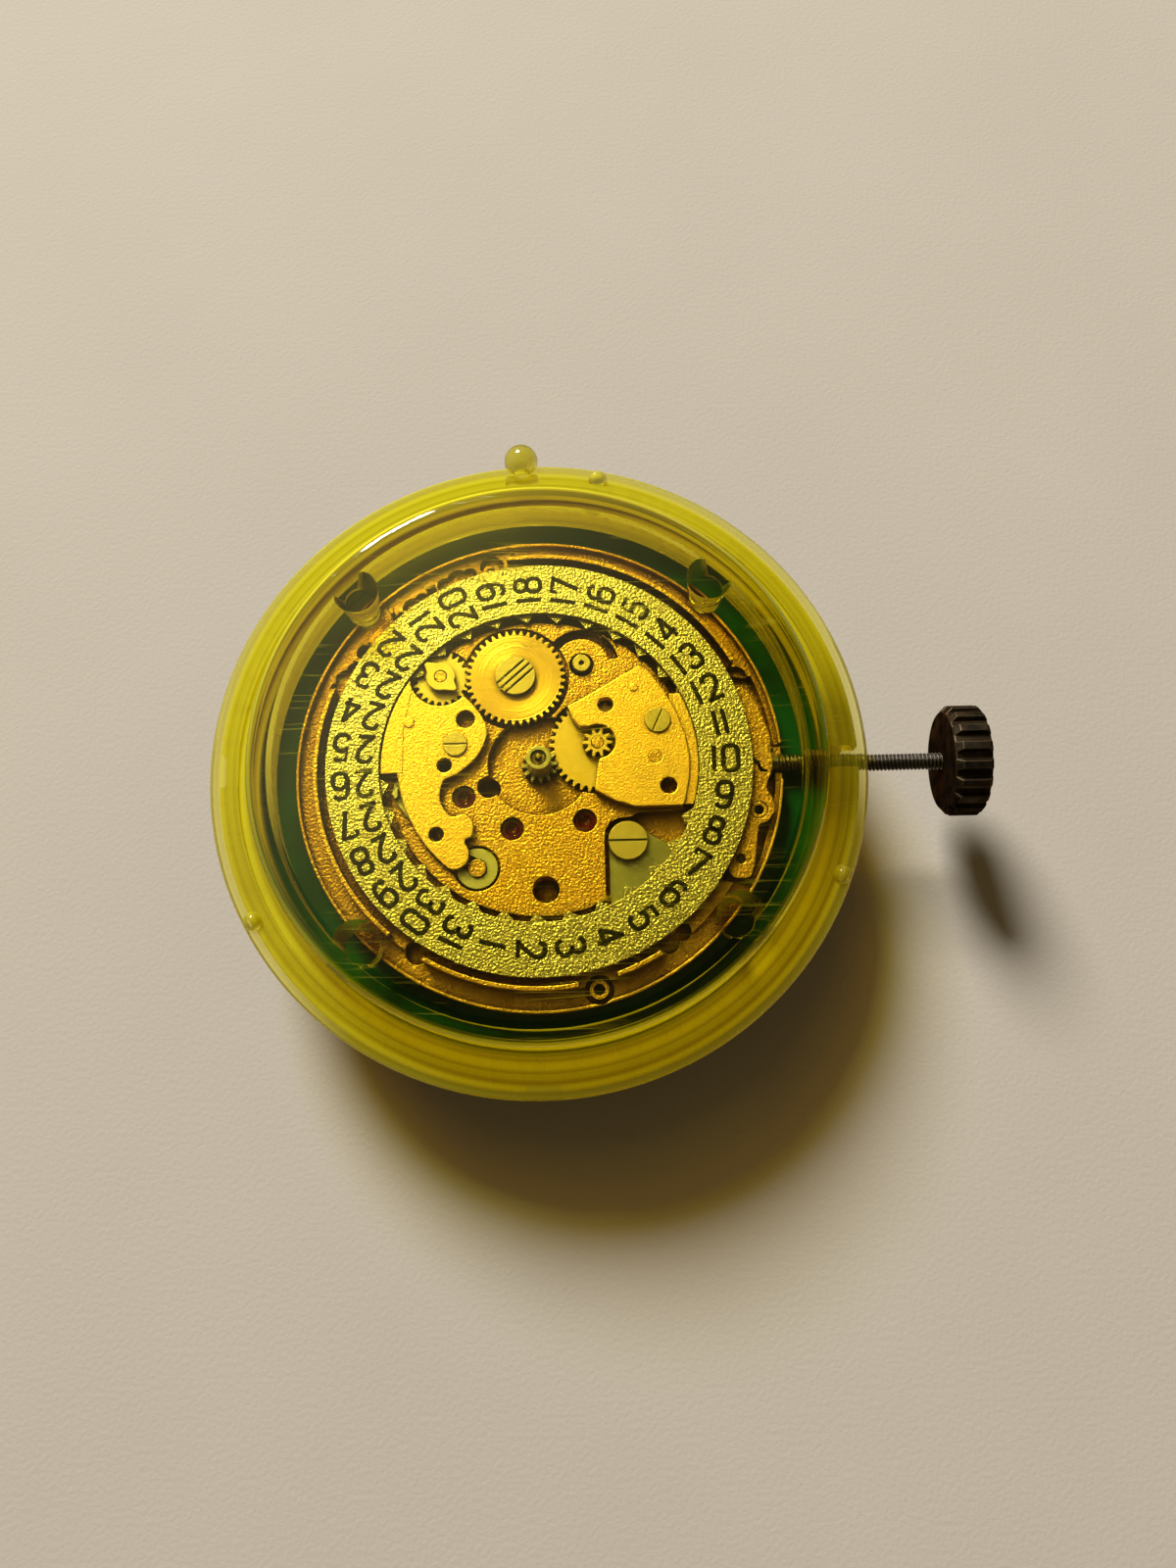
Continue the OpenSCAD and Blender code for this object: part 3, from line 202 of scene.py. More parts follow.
OPEN, CLOSED = False, True
STROKES = {
    "0": [(CLOSED, smooth((0.5, 1), (0.94, 0.9), (1, 0.6), (1, 0.4), (0.94, 0.1), (0.5, 0),
                          (0.06, 0.1), (0, 0.4), (0, 0.6), (0.06, 0.9)))],
    "1": [(OPEN, corner((0.5, 0), (0.5, 1)))],
    "2": [(OPEN, smooth((0.02, 0.76), (0.16, 0.95), (0.5, 1), (0.86, 0.94), (0.98, 0.72),
                        (0.78, 0.46)) + corner((-0.02, -0.05))),
          (OPEN, corner((-0.1, 0), (1.06, 0)))],
    "3": [(OPEN, smooth((0.03, 0.84), (0.2, 0.97), (0.5, 1), (0.82, 0.95), (0.94, 0.77),
                        (0.8, 0.59)) + corner((0.42, 0.55))),
          (OPEN, corner((0.42, 0.55)) + smooth((0.82, 0.5), (1, 0.27), (0.86, 0.06), (0.5, 0),
                                               (0.14, 0.05), (0, 0.2)))],
    "4": [(OPEN, corner((0.76, 0), (0.76, 1.05))), (OPEN, corner((0.79, 1.04), (-0.05, 0.22))),
          (OPEN, corner((-0.06, 0.27), (1.04, 0.27)))],
    "5": [(OPEN, corner((0.93, 1), (0.14, 1), (0.08, 0.5)) + smooth(
        (0.22, 0.6), (0.52, 0.64), (0.9, 0.52), (1, 0.3), (0.86, 0.07), (0.48, 0), (0.14, 0.05),
        (0, 0.18)))],
    "6": [(OPEN, smooth((0.94, 0.86), (0.8, 0.97), (0.5, 1), (0.14, 0.9), (0, 0.55), (0.04, 0.18),
                        (0.2, 0.03), (0.5, 0), (0.86, 0.06), (1, 0.3), (0.88, 0.54), (0.5, 0.6),
                        (0.14, 0.5), (0.02, 0.38)))],
    "7": [(OPEN, corner((0, 0.8), (0, 1), (1.1, 1))), (OPEN, corner((1.02, 1.06), (0.38, -0.04)))],
    "8": [(CLOSED, smooth((0.5, 1), (0.84, 0.94), (0.93, 0.77), (0.82, 0.6), (0.5, 0.54),
                          (0.18, 0.6), (0.07, 0.77), (0.16, 0.94))),
          (CLOSED, smooth((0.5, 0.54), (0.88, 0.47), (1, 0.27), (0.88, 0.06), (0.5, 0),
                          (0.12, 0.06), (0, 0.27), (0.12, 0.47)))],
}
STROKES["9"] = [(closed, [(1 - x, 1 - y, kind) for x, y, kind in points])
                for closed, points in STROKES["6"]]
print(sum(len(strokes) for strokes in STROKES.values()), "strokes")

# %% [markdown]
# On this ring a number reads outwards along the radius, and its foot points clockwise.
# So the reading direction is the radius and the upright is the direction of turning.
# The ten stands at the stem, and the numbers run on anticlockwise.

# %% Draw the numbers on the ring
DIGIT_W, DIGIT_H, STROKE_W, DIGIT_GAP = 0.76, 1.36, 0.25, 0.24
RING_MIDDLE = 9.72
DAYS = 31
DAY_AT_STEM = 10


def add_digit(curve, digit, place):
    """Adds a digit's strokes to the curve; place turns unit coordinates into metres."""
    for closed, points in STROKES[digit]:
        spline = curve.splines.new("BEZIER")
        spline.bezier_points.add(len(points) - 1)
        for bezier, (x, y, kind) in zip(spline.bezier_points, points):
            bezier.co = place(x, y)
            bezier.handle_left_type = kind
            bezier.handle_right_type = kind
        spline.use_cyclic_u = closed


ink_curve = bpy.data.curves.new("ink", "CURVE")
ink_curve.dimensions = "3D"
ink_curve.resolution_u = 4
ink_curve.bevel_depth = STROKE_W / 2 * MM
ink_curve.bevel_resolution = 1
ink_curve.use_fill_caps = True
for day in range(1, DAYS + 1):
    turn = math.tau * (day - DAY_AT_STEM) / DAYS
    outward = Vector((math.cos(turn), math.sin(turn), 0))
    upright = Vector((-math.sin(turn), math.cos(turn), 0))
    text = str(day)
    widths = [0 if digit == "1" else DIGIT_W for digit in text]
    run = -(sum(widths) + (DIGIT_GAP + STROKE_W) * (len(text) - 1)) / 2
    for digit, width in zip(text, widths):
        def place(x, y, run=run, width=width):
            along = RING_MIDDLE + run + (x * width if width else 0)
            return (outward * along + upright * (y - 0.5) * DIGIT_H) * MM
        add_digit(ink_curve, digit, place)
        run += width + DIGIT_GAP + STROKE_W
print(len(ink_curve.splines), "strokes drawn for", DAYS, "numbers")

# %% [markdown]
# The curve is now made a mesh. Its tubes are pressed to a film of a fiftieth of a
# millimetre and set on the ring's top, where half of the film sinks into the metal.

# %% Press the ink flat
INK_T = 0.02
drawn = bpy.data.objects.new("drawn", ink_curve)
bpy.context.scene.collection.objects.link(drawn)
depsgraph = bpy.context.evaluated_depsgraph_get()
ink_mesh = bpy.data.meshes.new_from_object(drawn.evaluated_get(depsgraph))
bpy.data.objects.remove(drawn)
ink = bmesh.new()
ink.from_mesh(ink_mesh)
bmesh.ops.scale(ink, verts=ink.verts, vec=(1, 1, INK_T / STROKE_W))
bmesh.ops.translate(ink, verts=ink.verts, vec=(0, 0, ring_top))
bmesh.ops.remove_doubles(ink, verts=ink.verts, dist=MERGE)
bmesh.ops.recalc_face_normals(ink, faces=ink.faces)
numbers = make_piece("date_numbers", ink, "date_ring")

# %% [markdown]
# From here on the finishes are made. A material is a small graph of nodes, and helpers
# keep the graphs short. One adds a node and sets it up, one joins two sockets, and two
# more do sums on numbers and on vectors, where an operand is a socket or a constant.

# %% Helpers for node graphs
FLAT = (1.0, 1.0, 0.0)


def add_node(tree, kind, values=None, **settings):
    node = tree.nodes.new(kind)
    for name, value in settings.items():
        setattr(node, name, value)
    for name, value in (values or {}).items():
        node.inputs[name].default_value = value
    return node


def join(tree, out_socket, in_socket):
    tree.links.new(out_socket, in_socket)


def feed(tree, node, operands):
    """Joins the operands that are sockets and types in those that are constants."""
    for index, value in enumerate(operands):
        if isinstance(value, bpy.types.NodeSocket):
            join(tree, value, node.inputs[index])
        else:
            node.inputs[index].default_value = value


def calc(tree, operation, *operands, **settings):
    node = add_node(tree, "ShaderNodeMath", operation=operation, **settings)
    feed(tree, node, operands)
    return node.outputs["Value"]


def calc_vector(tree, operation, *operands):
    node = add_node(tree, "ShaderNodeVectorMath", operation=operation)
    feed(tree, node, operands)
    gives_number = operation in ("LENGTH", "DISTANCE", "DOT_PRODUCT")
    return node.outputs["Value" if gives_number else "Vector"]


def map_range(tree, value, low, high, to_low, to_high):
    node = add_node(tree, "ShaderNodeMapRange", {"From Min": low, "From Max": high,
                                                 "To Min": to_low, "To Max": to_high})
    join(tree, value, node.inputs["Value"])
    return node.outputs["Result"]


# %% [markdown]
# An effect that several finishes share is a node group. A group gives out masks, numbers
# or normals only, and each material decides what to make of them.

# %% Start a node group
FLOAT, VECTOR = "NodeSocketFloat", "NodeSocketVector"


def new_group(name, inputs, outputs):
    tree = bpy.data.node_groups.new(name, "ShaderNodeTree")
    for label, kind, value in inputs:
        socket = tree.interface.new_socket(label, in_out="INPUT", socket_type=kind)
        socket.default_value = value
    for label, kind in outputs:
        tree.interface.new_socket(label, in_out="OUTPUT", socket_type=kind)
    print("group", name)
    return tree, tree.nodes.new("NodeGroupInput"), tree.nodes.new("NodeGroupOutput")


def object_place(tree):
    return add_node(tree, "ShaderNodeTexCoord").outputs["Object"]


# %% [markdown]
# Every stamped or turned watch part has edges that are broken by tumbling. The Bevel node
# rounds the shading there without changing the mesh. Where its normal differs from the
# true one there is an edge, and that difference is also the mask for a painted highlight,
# a thin bright line painted along the edges.

# %% Group: broken edges
edges_group, group_in, group_out = new_group(
    "Broken edges", [("Radius", FLOAT, 0.04 * MM)], [("Normal", VECTOR), ("Edge", FLOAT)])
bevel = add_node(edges_group, "ShaderNodeBevel", samples=4)
join(edges_group, group_in.outputs["Radius"], bevel.inputs["Radius"])
true_normal = add_node(edges_group, "ShaderNodeNewGeometry").outputs["Normal"]
facing = calc_vector(edges_group, "DOT_PRODUCT", bevel.outputs["Normal"], true_normal)
join(edges_group, bevel.outputs["Normal"], group_out.inputs["Normal"])
join(edges_group, map_range(edges_group, facing, 0.995, 0.86, 0.0, 1.0),
     group_out.inputs["Edge"])

# %% [markdown]
# Plated metal is never even. A fine grain comes from blasting or from the plating bath,
# and larger, faint clouds come from handling and age. Both are noise on the object's own
# coordinates, the first at around a tenth of a millimetre and the second at one or more.

# %% Group: plated grain
grain_group, group_in, group_out = new_group(
    "Plated grain", [("Grain size mm", FLOAT, 0.05), ("Cloud size mm", FLOAT, 1.5)],
    [("Grain", FLOAT), ("Clouds", FLOAT)])
place_socket = object_place(grain_group)
for label, size_label, detail in (("Grain", "Grain size mm", 2.0),
                                  ("Clouds", "Cloud size mm", 3.0)):
    noise = add_node(grain_group, "ShaderNodeTexNoise", {"Detail": detail})
    join(grain_group, place_socket, noise.inputs["Vector"])
    join(grain_group, calc(grain_group, "DIVIDE", PER_METRE, group_in.outputs[size_label]),
         noise.inputs["Scale"])
    join(grain_group, noise.outputs["Fac"], group_out.inputs[label])

# %% [markdown]
# Wheels and rings are finished on a turning lap, which leaves fine rings round the axis.
# The distance from that axis is measured, and noise on this distance alone gives rings of
# uneven depth. The group takes the axis as a point, so each wheel names its own centre.

# %% Group: turned rings
turned_group, group_in, group_out = new_group(
    "Turned rings", [("Centre", VECTOR, (0.0, 0.0, 0.0)), ("Ring mm", FLOAT, 0.06)],
    [("Rings", FLOAT)])
from_axis = calc_vector(turned_group, "SUBTRACT", object_place(turned_group),
                        group_in.outputs["Centre"])
radius = calc_vector(turned_group, "LENGTH",
                     calc_vector(turned_group, "MULTIPLY", from_axis, FLAT))
rings = add_node(turned_group, "ShaderNodeTexNoise", {"Detail": 2.0}, noise_dimensions="1D")
join(turned_group, radius, rings.inputs["W"])
join(turned_group, calc(turned_group, "DIVIDE", PER_METRE, group_in.outputs["Ring mm"]),
     rings.inputs["Scale"])
join(turned_group, rings.outputs["Fac"], group_out.inputs["Rings"])

# %% [markdown]
# A capsule that has lain in a drawer is covered with hairline scratches. Noise that is
# stretched about thirtyfold looks like parallel fibres, and a narrow slice of its values
# leaves only thin lines. Three such layers, turned against each other and broken up by a
# coarse noise, read as scratches.

# %% Group: hairline scratches
STRETCH = (0.035, 1.0, 1.0)
scratch_group, group_in, group_out = new_group(
    "Hairline scratches", [("Amount", FLOAT, 0.5)], [("Scratches", FLOAT)])
place_socket = object_place(scratch_group)
every = None
for number, (angle, breadth, width) in enumerate([(0.6, 900.0, 0.009), (1.7, 1200.0, 0.008),
                                                  (2.5, 700.0, 0.009)]):
    turned = add_node(scratch_group, "ShaderNodeMapping",
                      {"Rotation": (0.0, 0.0, angle), "Scale": STRETCH,
                       "Location": (0.011 * number, 0.007 * number, 0.0)})
    join(scratch_group, place_socket, turned.inputs["Vector"])
    fibres = add_node(scratch_group, "ShaderNodeTexNoise",
                      {"Scale": breadth, "Detail": 1.0, "Distortion": 0.15})
    join(scratch_group, turned.outputs["Vector"], fibres.inputs["Vector"])
    off_middle = calc(scratch_group, "ABSOLUTE",
                      calc(scratch_group, "SUBTRACT", fibres.outputs["Fac"], 0.5))
    line = map_range(scratch_group, off_middle, width, 0.0, 0.0, 1.0)
    breaks = add_node(scratch_group, "ShaderNodeTexNoise",
                      {"Scale": 160.0 + 70 * number, "Detail": 1.0})
    join(scratch_group, place_socket, breaks.inputs["Vector"])
    kept = map_range(scratch_group, breaks.outputs["Fac"], 0.55, 0.66, 0.0, 1.0)
    layer = calc(scratch_group, "MULTIPLY", line, kept)
    every = layer if every is None else calc(scratch_group, "MAXIMUM", every, layer)
join(scratch_group, calc(scratch_group, "MULTIPLY", every, group_in.outputs["Amount"]),
     group_out.inputs["Scratches"])

# %% [markdown]
# Ambient occlusion over less than a millimetre finds corners and sinks, where little light
# reaches, and gives a mask for painted shade on the metal.

# %% Group: painted shade in corners
corner_group, group_in, group_out = new_group(
    "Dark corners", [("Reach", FLOAT, 0.4 * MM)], [("Corner", FLOAT)])
occlusion = add_node(corner_group, "ShaderNodeAmbientOcclusion", samples=6)
join(corner_group, group_in.outputs["Reach"], occlusion.inputs["Distance"])
join(corner_group, map_range(corner_group, occlusion.outputs["AO"], 0.92, 0.48, 0.0, 1.0),
     group_out.inputs["Corner"])

# %% [markdown]
# A new material starts as a Principled shader. Groups are placed in it by name, and a
# colour that varies is a mix of two colours with a mask as its factor.

# %% Helpers for materials


def new_material(name):
    material = bpy.data.materials.new(name)
    material.use_nodes = True
    return material, material.node_tree, material.node_tree.nodes["Principled BSDF"]


def place_group(tree, group, **values):
    node = tree.nodes.new("ShaderNodeGroup")
    node.node_tree = group
    for name, value in values.items():
        node.inputs[name.replace("_", " ")].default_value = value
    return node


def mix_colours(tree, factor, first, second):
    mix = add_node(tree, "ShaderNodeMix", data_type="RGBA")
    join(tree, factor, mix.inputs["Factor"])
    for value, socket in ((first, mix.inputs[6]), (second, mix.inputs[7])):
        if isinstance(value, tuple):
            socket.default_value = (*value, 1.0)
        else:
            join(tree, value, socket)
    return mix.outputs[2]


def bump(tree, height, depth_mm, normal=None):
    node = add_node(tree, "ShaderNodeBump", {"Distance": depth_mm * MM, "Strength": 1.0})
    join(tree, height, node.inputs["Height"])
    if normal is not None:
        join(tree, normal, node.inputs["Normal"])
    return node.outputs["Normal"]


# %% [markdown]
# Most of the movement is metal, and one recipe serves it all: a colour that drifts
# between two tones, a painted highlight along broken edges, painted shade in the corners,
# a grain in the bump, and a roughness that follows the clouds. Turned parts get rings
# round their own axis as well.

# %% Recipe: metal
CORNER_AMOUNT = 0.95
ROUGHER, SMOOTHER = 0.07, 0.04


def metal(name, tone, dark_tone, edge_highlight_tone, roughness, grain=0.05, grain_depth=0.0015,
          centre=None, ring_depth=0.002, ring=0.06, edge_radius=0.04, edge_highlight_amount=0.45,
          cloud=1.5, corner_reach=0.4, painted_shade=(0.05, 0.03, 0.008)):
    material, tree, shader = new_material(name)
    edge_node = place_group(tree, edges_group, Radius=edge_radius * MM)
    grain_node = place_group(tree, grain_group, Grain_size_mm=grain, Cloud_size_mm=cloud)
    cloud_mask = map_range(tree, grain_node.outputs["Clouds"], 0.35, 0.65, 0.0, 1.0)
    body = mix_colours(tree, cloud_mask, dark_tone, tone)
    # Painted highlight: the edge mask lightens the colour along the edges.
    edge_highlight_mask = map_range(tree, edge_node.outputs["Edge"], 0.0, 1.0, 0.0, edge_highlight_amount)
    body = mix_colours(tree, edge_highlight_mask, body, edge_highlight_tone)
    # Painted shade: ambient occlusion darkens the colour in corners and sinks.
    corner_node = place_group(tree, corner_group, Reach=corner_reach * MM)
    corners = map_range(tree, corner_node.outputs["Corner"], 0.0, 1.0, 0.0, CORNER_AMOUNT)
    join(tree, mix_colours(tree, corners, body, painted_shade), shader.inputs["Base Color"])
    shader.inputs["Metallic"].default_value = 1.0
    rough = map_range(tree, grain_node.outputs["Clouds"], 0.3, 0.7,
                      roughness + ROUGHER, roughness - SMOOTHER)
    join(tree, rough, shader.inputs["Roughness"])
    normal = bump(tree, grain_node.outputs["Grain"], grain_depth, edge_node.outputs["Normal"])
    if centre is not None:
        turned = place_group(tree, turned_group, Centre=centre, Ring_mm=ring)
        normal = bump(tree, turned.outputs["Rings"], ring_depth, normal)
    join(tree, normal, shader.inputs["Normal"])
    return material


def centre_of(node):
    low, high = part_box(node)
    return tuple((low + high) / 2)


# %% [markdown]
# The main plate and the two dial-side plates are gold-plated brass, blasted to a fine
# matt grain. The plate is a little browner than the plates above it, and its painted
# corner shade reaches furthest, into its sinks.

# %% Gilt plates
BROWN_PAINTED_SHADE = (0.055, 0.018, 0.002)
gilt_plate = metal("gilt plate", (0.62, 0.37, 0.10), (0.44, 0.25, 0.055), (1.0, 0.80, 0.38),
                   0.36, grain=0.13, grain_depth=0.045, edge_radius=0.07, edge_highlight_amount=0.7,
                   cloud=1.2, corner_reach=0.8, painted_shade=BROWN_PAINTED_SHADE)
gilt_bridge = metal("gilt bridge", (0.80, 0.53, 0.16), (0.67, 0.42, 0.11), (1.0, 0.86, 0.45),
                    0.385, grain=0.10, grain_depth=0.026, edge_radius=0.09,
                    edge_highlight_amount=0.7, cloud=1.2, painted_shade=BROWN_PAINTED_SHADE)

# %% [markdown]
# The date ring is silvered and lightly blasted, so it is pale and sparkles with a coarse
# grain. The ink on it is black with a faint gloss.

# %% Date ring and ink
silvered = metal("silvered ring", (0.51, 0.47, 0.36), (0.36, 0.32, 0.24), (0.96, 0.92, 0.76),
                 0.31, grain=0.13, grain_depth=0.06, centre=(0.0, 0.0, 0.0),
                 ring_depth=0.0015, ring=0.1, cloud=3.0)
ink_black, tree, shader = new_material("printing ink")
speckle = place_group(tree, grain_group, Grain_size_mm=0.04, Cloud_size_mm=0.4)
join(tree, mix_colours(tree, speckle.outputs["Clouds"], (0.002, 0.002, 0.002),
                       (0.014, 0.013, 0.01)), shader.inputs["Base Color"])
join(tree, map_range(tree, speckle.outputs["Grain"], 0.3, 0.7, 0.45, 0.62),
     shader.inputs["Roughness"])
shader.inputs["Specular IOR Level"].default_value = 0.12

# %% [markdown]
# The wheels are turned. Fine rings round each axis make the light run in a wedge across
# the face, as on any lapped wheel.

# %% Wheels
drive_gilt = metal("drive wheel gilt", (0.88, 0.60, 0.18), (0.70, 0.45, 0.11),
                   (1.0, 0.88, 0.5), 0.32, grain_depth=0.001,
                   centre=centre_of("date_drive_wheel"), ring_depth=0.013, ring=0.07)
finger_brass = metal("finger wheel brass", (0.74, 0.61, 0.28), (0.56, 0.44, 0.17),
                     (1.0, 0.94, 0.7), 0.38, centre=centre_of("date_finger_wheel"),
                     ring_depth=0.003)
minute_brass = metal("minute wheel brass", (0.76, 0.58, 0.22), (0.60, 0.43, 0.13),
                     (1.0, 0.9, 0.6), 0.38, centre=centre_of("minute_wheel"),
                     ring_depth=0.004)
train_brass = metal("train brass", (0.84, 0.68, 0.28), (0.70, 0.52, 0.18), (1.0, 0.88, 0.55), 0.25)

# %% [markdown]
# Steel appears in several states: polished screw heads, grained levers, a darker stem and
# hardened pinions. The recipe is the same, and only tone and roughness change.

# %% Steel parts
screw_steel = metal("screw steel", (0.62, 0.52, 0.29), (0.42, 0.35, 0.18), (0.96, 0.92, 0.8), 0.38,
                    grain=0.04, grain_depth=0.001, corner_reach=0.45)
lever_steel = metal("lever steel", (0.52, 0.52, 0.42), (0.38, 0.38, 0.28), (0.85, 0.84, 0.72), 0.3,
                    grain=0.07, grain_depth=0.003)
spring_steel = metal("spring steel", (0.60, 0.60, 0.50), (0.46, 0.46, 0.36), (0.9, 0.9, 0.8), 0.36)
pinion_steel = metal("pinion steel", (0.60, 0.57, 0.46), (0.40, 0.38, 0.28),
                     (0.95, 0.92, 0.8), 0.34)
stem_steel = metal("stem steel", (0.15, 0.14, 0.13), (0.06, 0.055, 0.05), (0.6, 0.55, 0.5), 0.34,
                   edge_radius=0.03, grain_depth=0.004)
core_metal = metal("core metal", (0.60, 0.60, 0.62), (0.48, 0.48, 0.50), (0.8, 0.8, 0.82), 0.45)
magnet_metal = metal("magnet", (0.36, 0.36, 0.39), (0.24, 0.24, 0.27), (0.6, 0.6, 0.64), 0.4)
nickel = metal("nickel plate", (0.76, 0.77, 0.78), (0.64, 0.65, 0.66), (0.95, 0.95, 0.95), 0.2)
clamp_metal = metal("clamp sheet", (0.80, 0.76, 0.56), (0.66, 0.60, 0.40), (0.95, 0.92, 0.8), 0.28)

# %% [markdown]
# The crown carries a dark bronze coat that has worn off its ribs. The edge mask is
# turned up here and lightens the ribs to a warm brown, partly the worn brass and partly a
# painted highlight. The specular tint darkens what the coat reflects at a glancing angle,
# so that its outline stays dark against the paper.

# %% Crown
crown_bronze = metal("crown bronze", (0.075, 0.055, 0.034), (0.02, 0.016, 0.011),
                     (0.24, 0.17, 0.10), 0.48, grain=0.12, grain_depth=0.006,
                     edge_radius=0.1, edge_highlight_amount=0.6, cloud=0.8)
crown_shader = crown_bronze.node_tree.nodes["Principled BSDF"]
crown_shader.inputs["Specular Tint"].default_value = (0.36, 0.30, 0.22, 1.0)

# %% [markdown]
# The yellow plastic looks different on its flat top, on its walls, in its rim and on the
# side towards the lamp. So its material first asks where a point lies: how upright its
# normal is, how far out it is, and how far it is from the lamp's side and from the stem.

# %% Where a point of the plastic lies
LAMP_SIDE = mm(-6.5, 13.0, 8.0)
STEM_SIDE = mm(14.5, 0.0, 6.0)


def mm_range(tree, value, low, high, to_low, to_high):
    return map_range(tree, value, low * MM, high * MM, to_low, to_high)


def places(tree):
    """Gives sockets for upright, radius, and distance from the lamp's side and the stem."""
    parts = add_node(tree, "ShaderNodeSeparateXYZ")
    join(tree, add_node(tree, "ShaderNodeNewGeometry").outputs["True Normal"],
         parts.inputs["Vector"])
    place_socket = object_place(tree)
    return (calc(tree, "ABSOLUTE", parts.outputs["Z"]),
            calc_vector(tree, "LENGTH", calc_vector(tree, "MULTIPLY", place_socket, FLAT)),
            calc_vector(tree, "DISTANCE", place_socket, LAMP_SIDE),
            calc_vector(tree, "DISTANCE", place_socket, STEM_SIDE))


# %% [markdown]
# A chamfer at 45 degrees runs round the inside of the lid. On the side away from the lamp
# its total reflection would draw a pale arc that the real lid doesn't show. The mask below
# finds it by its slope and its radius.

# %% The lid's inner chamfer
COS_45 = 0.707
INNER_CHAMFER = 13.63


def far_chamfer(tree, upright, radius, from_lamp):
    off_slope = calc(tree, "ABSOLUTE", calc(tree, "SUBTRACT", upright, COS_45))
    off_place = calc(tree, "ABSOLUTE", calc(tree, "SUBTRACT", radius, INNER_CHAMFER * MM))
    chamfer = calc(tree, "MULTIPLY", map_range(tree, off_slope, 0.05, 0.12, 1.0, 0.0),
                   mm_range(tree, off_place, 0.3, 0.4, 1.0, 0.0))
    return calc(tree, "MULTIPLY", chamfer, mm_range(tree, from_lamp, 14.0, 19.0, 0.0, 1.0))


# %% [markdown]
# A dyed moulding glows a little in its own colour, and a share of Diffuse and Translucent
# stands for that. The share is large in the thick rim beyond the skirt, and small inside
# it. The share is painted larger towards the lamp's side and falls with the distance from
# there, as painted light for the light that the plastic leads round; it falls beside the
# stem too, where the wall is cut. Walls that face sideways get less of it, so that they
# stay clear, except on the far side, where more is painted on for the light that comes
# out again there. Right beside the lamp's side a little more is painted on. Scratches
# catch some of it too.

# %% How much the plastic glows
CLEAR_TOP = -0.72
SKIRT_FROM, SKIRT_TO = 13.5, 13.75
EDGE_FROM, EDGE_TO, EDGE_LEFT = 16.4, 17.1, 0.3
SCRATCH_GLOW = 0.25


def glow_share(tree, flatness, radius, from_lamp, from_stem, scratches,
               inside, in_rim, at_scuff, on_walls, wall_share):
    lowered = calc(tree, "ADD", radius, calc(tree, "MULTIPLY", flatness, CLEAR_TOP * MM))
    rim = calc(tree, "MULTIPLY", mm_range(tree, lowered, SKIRT_FROM, SKIRT_TO, 0.0, 1.0),
               mm_range(tree, radius, EDGE_FROM, EDGE_TO, 1.0, EDGE_LEFT))
    # Painted light: the share rises within 9 mm of the lamp's side.
    own = calc(tree, "ADD", mm_range(tree, from_lamp, 9.0, 2.0, 0.0, at_scuff),
               map_range(tree, flatness, 0.0, 1.0, on_walls, 0.0))
    together = calc(tree, "ADD", map_range(tree, rim, 0.0, 1.0, inside, in_rim), own)
    # Painted light: walls far from the lamp get more glow, and all of it grows towards the lamp's
    # side.
    walls = calc(tree, "MAXIMUM", map_range(tree, flatness, 0.0, 1.0, wall_share, 1.0),
                 mm_range(tree, from_lamp, 17.0, 23.0, 0.0, 1.5))
    walls = calc(tree, "MULTIPLY", mm_range(tree, from_stem, 3.0, 8.0, 0.25, 1.0), walls)
    painted_lamp_falloff = calc(tree, "MULTIPLY", mm_range(tree, from_lamp, 24.0, 4.0, 0.5, 2.15), walls)
    amount = calc(tree, "MULTIPLY", together, painted_lamp_falloff, use_clamp=True)
    hairlines = calc(tree, "MULTIPLY",
                     map_range(tree, scratches, 0.0, 1.0, 0.0, SCRATCH_GLOW), painted_lamp_falloff)
    return calc(tree, "MAXIMUM", amount, hairlines)


# %% [markdown]
# The glow itself has the colour of the dye, with faint rings from the flow of the mould.
# A wall lets half of it through to its other side, and a flat face shows most of it on
# the side that the light falls on.

# %% The glow's shader
DYE_DEEP, DYE_PALE = (0.56, 0.47, 0.003), (1.0, 0.91, 0.03)
FLOW_RING = 0.8


def glow_shader(tree, flatness):
    streaks = place_group(tree, turned_group, Ring_mm=FLOW_RING)
    streak_mask = map_range(tree, streaks.outputs["Rings"], 0.4, 0.62, 0.0, 1.0)
    dye = mix_colours(tree, streak_mask, DYE_DEEP, DYE_PALE)
    glow = add_node(tree, "ShaderNodeMixShader")
    join(tree, map_range(tree, flatness, 0.0, 1.0, 0.5, 0.12), glow.inputs["Fac"])
    for kind, socket in (("ShaderNodeBsdfDiffuse", 1), ("ShaderNodeBsdfTranslucent", 2)):
        side = add_node(tree, kind)
        join(tree, dye, side.inputs["Color"])
        join(tree, side.outputs["BSDF"], glow.inputs[socket])
    return glow.outputs["Shader"]


# %% [markdown]
# The rest is a Principled shader with full transmission. Its colour comes from a volume
# that absorbs blue, so a thin lid is lightly tinted and a thick rim is deep yellow. A
# haze and the scratches roughen it.
#
# Light that falls through the plastic on the movement would be lost in so small a scene,
# so shadow and diffuse rays pass through a Transparent shader instead, and so does every
# ray that meets the far chamfer. Walls swallow more of that light than the flat top does.

# %% Clear yellow plastic
SCRATCH_DEPTH = 0.0015
ABSORBED = (0.985, 0.955, 0.04, 1.0)


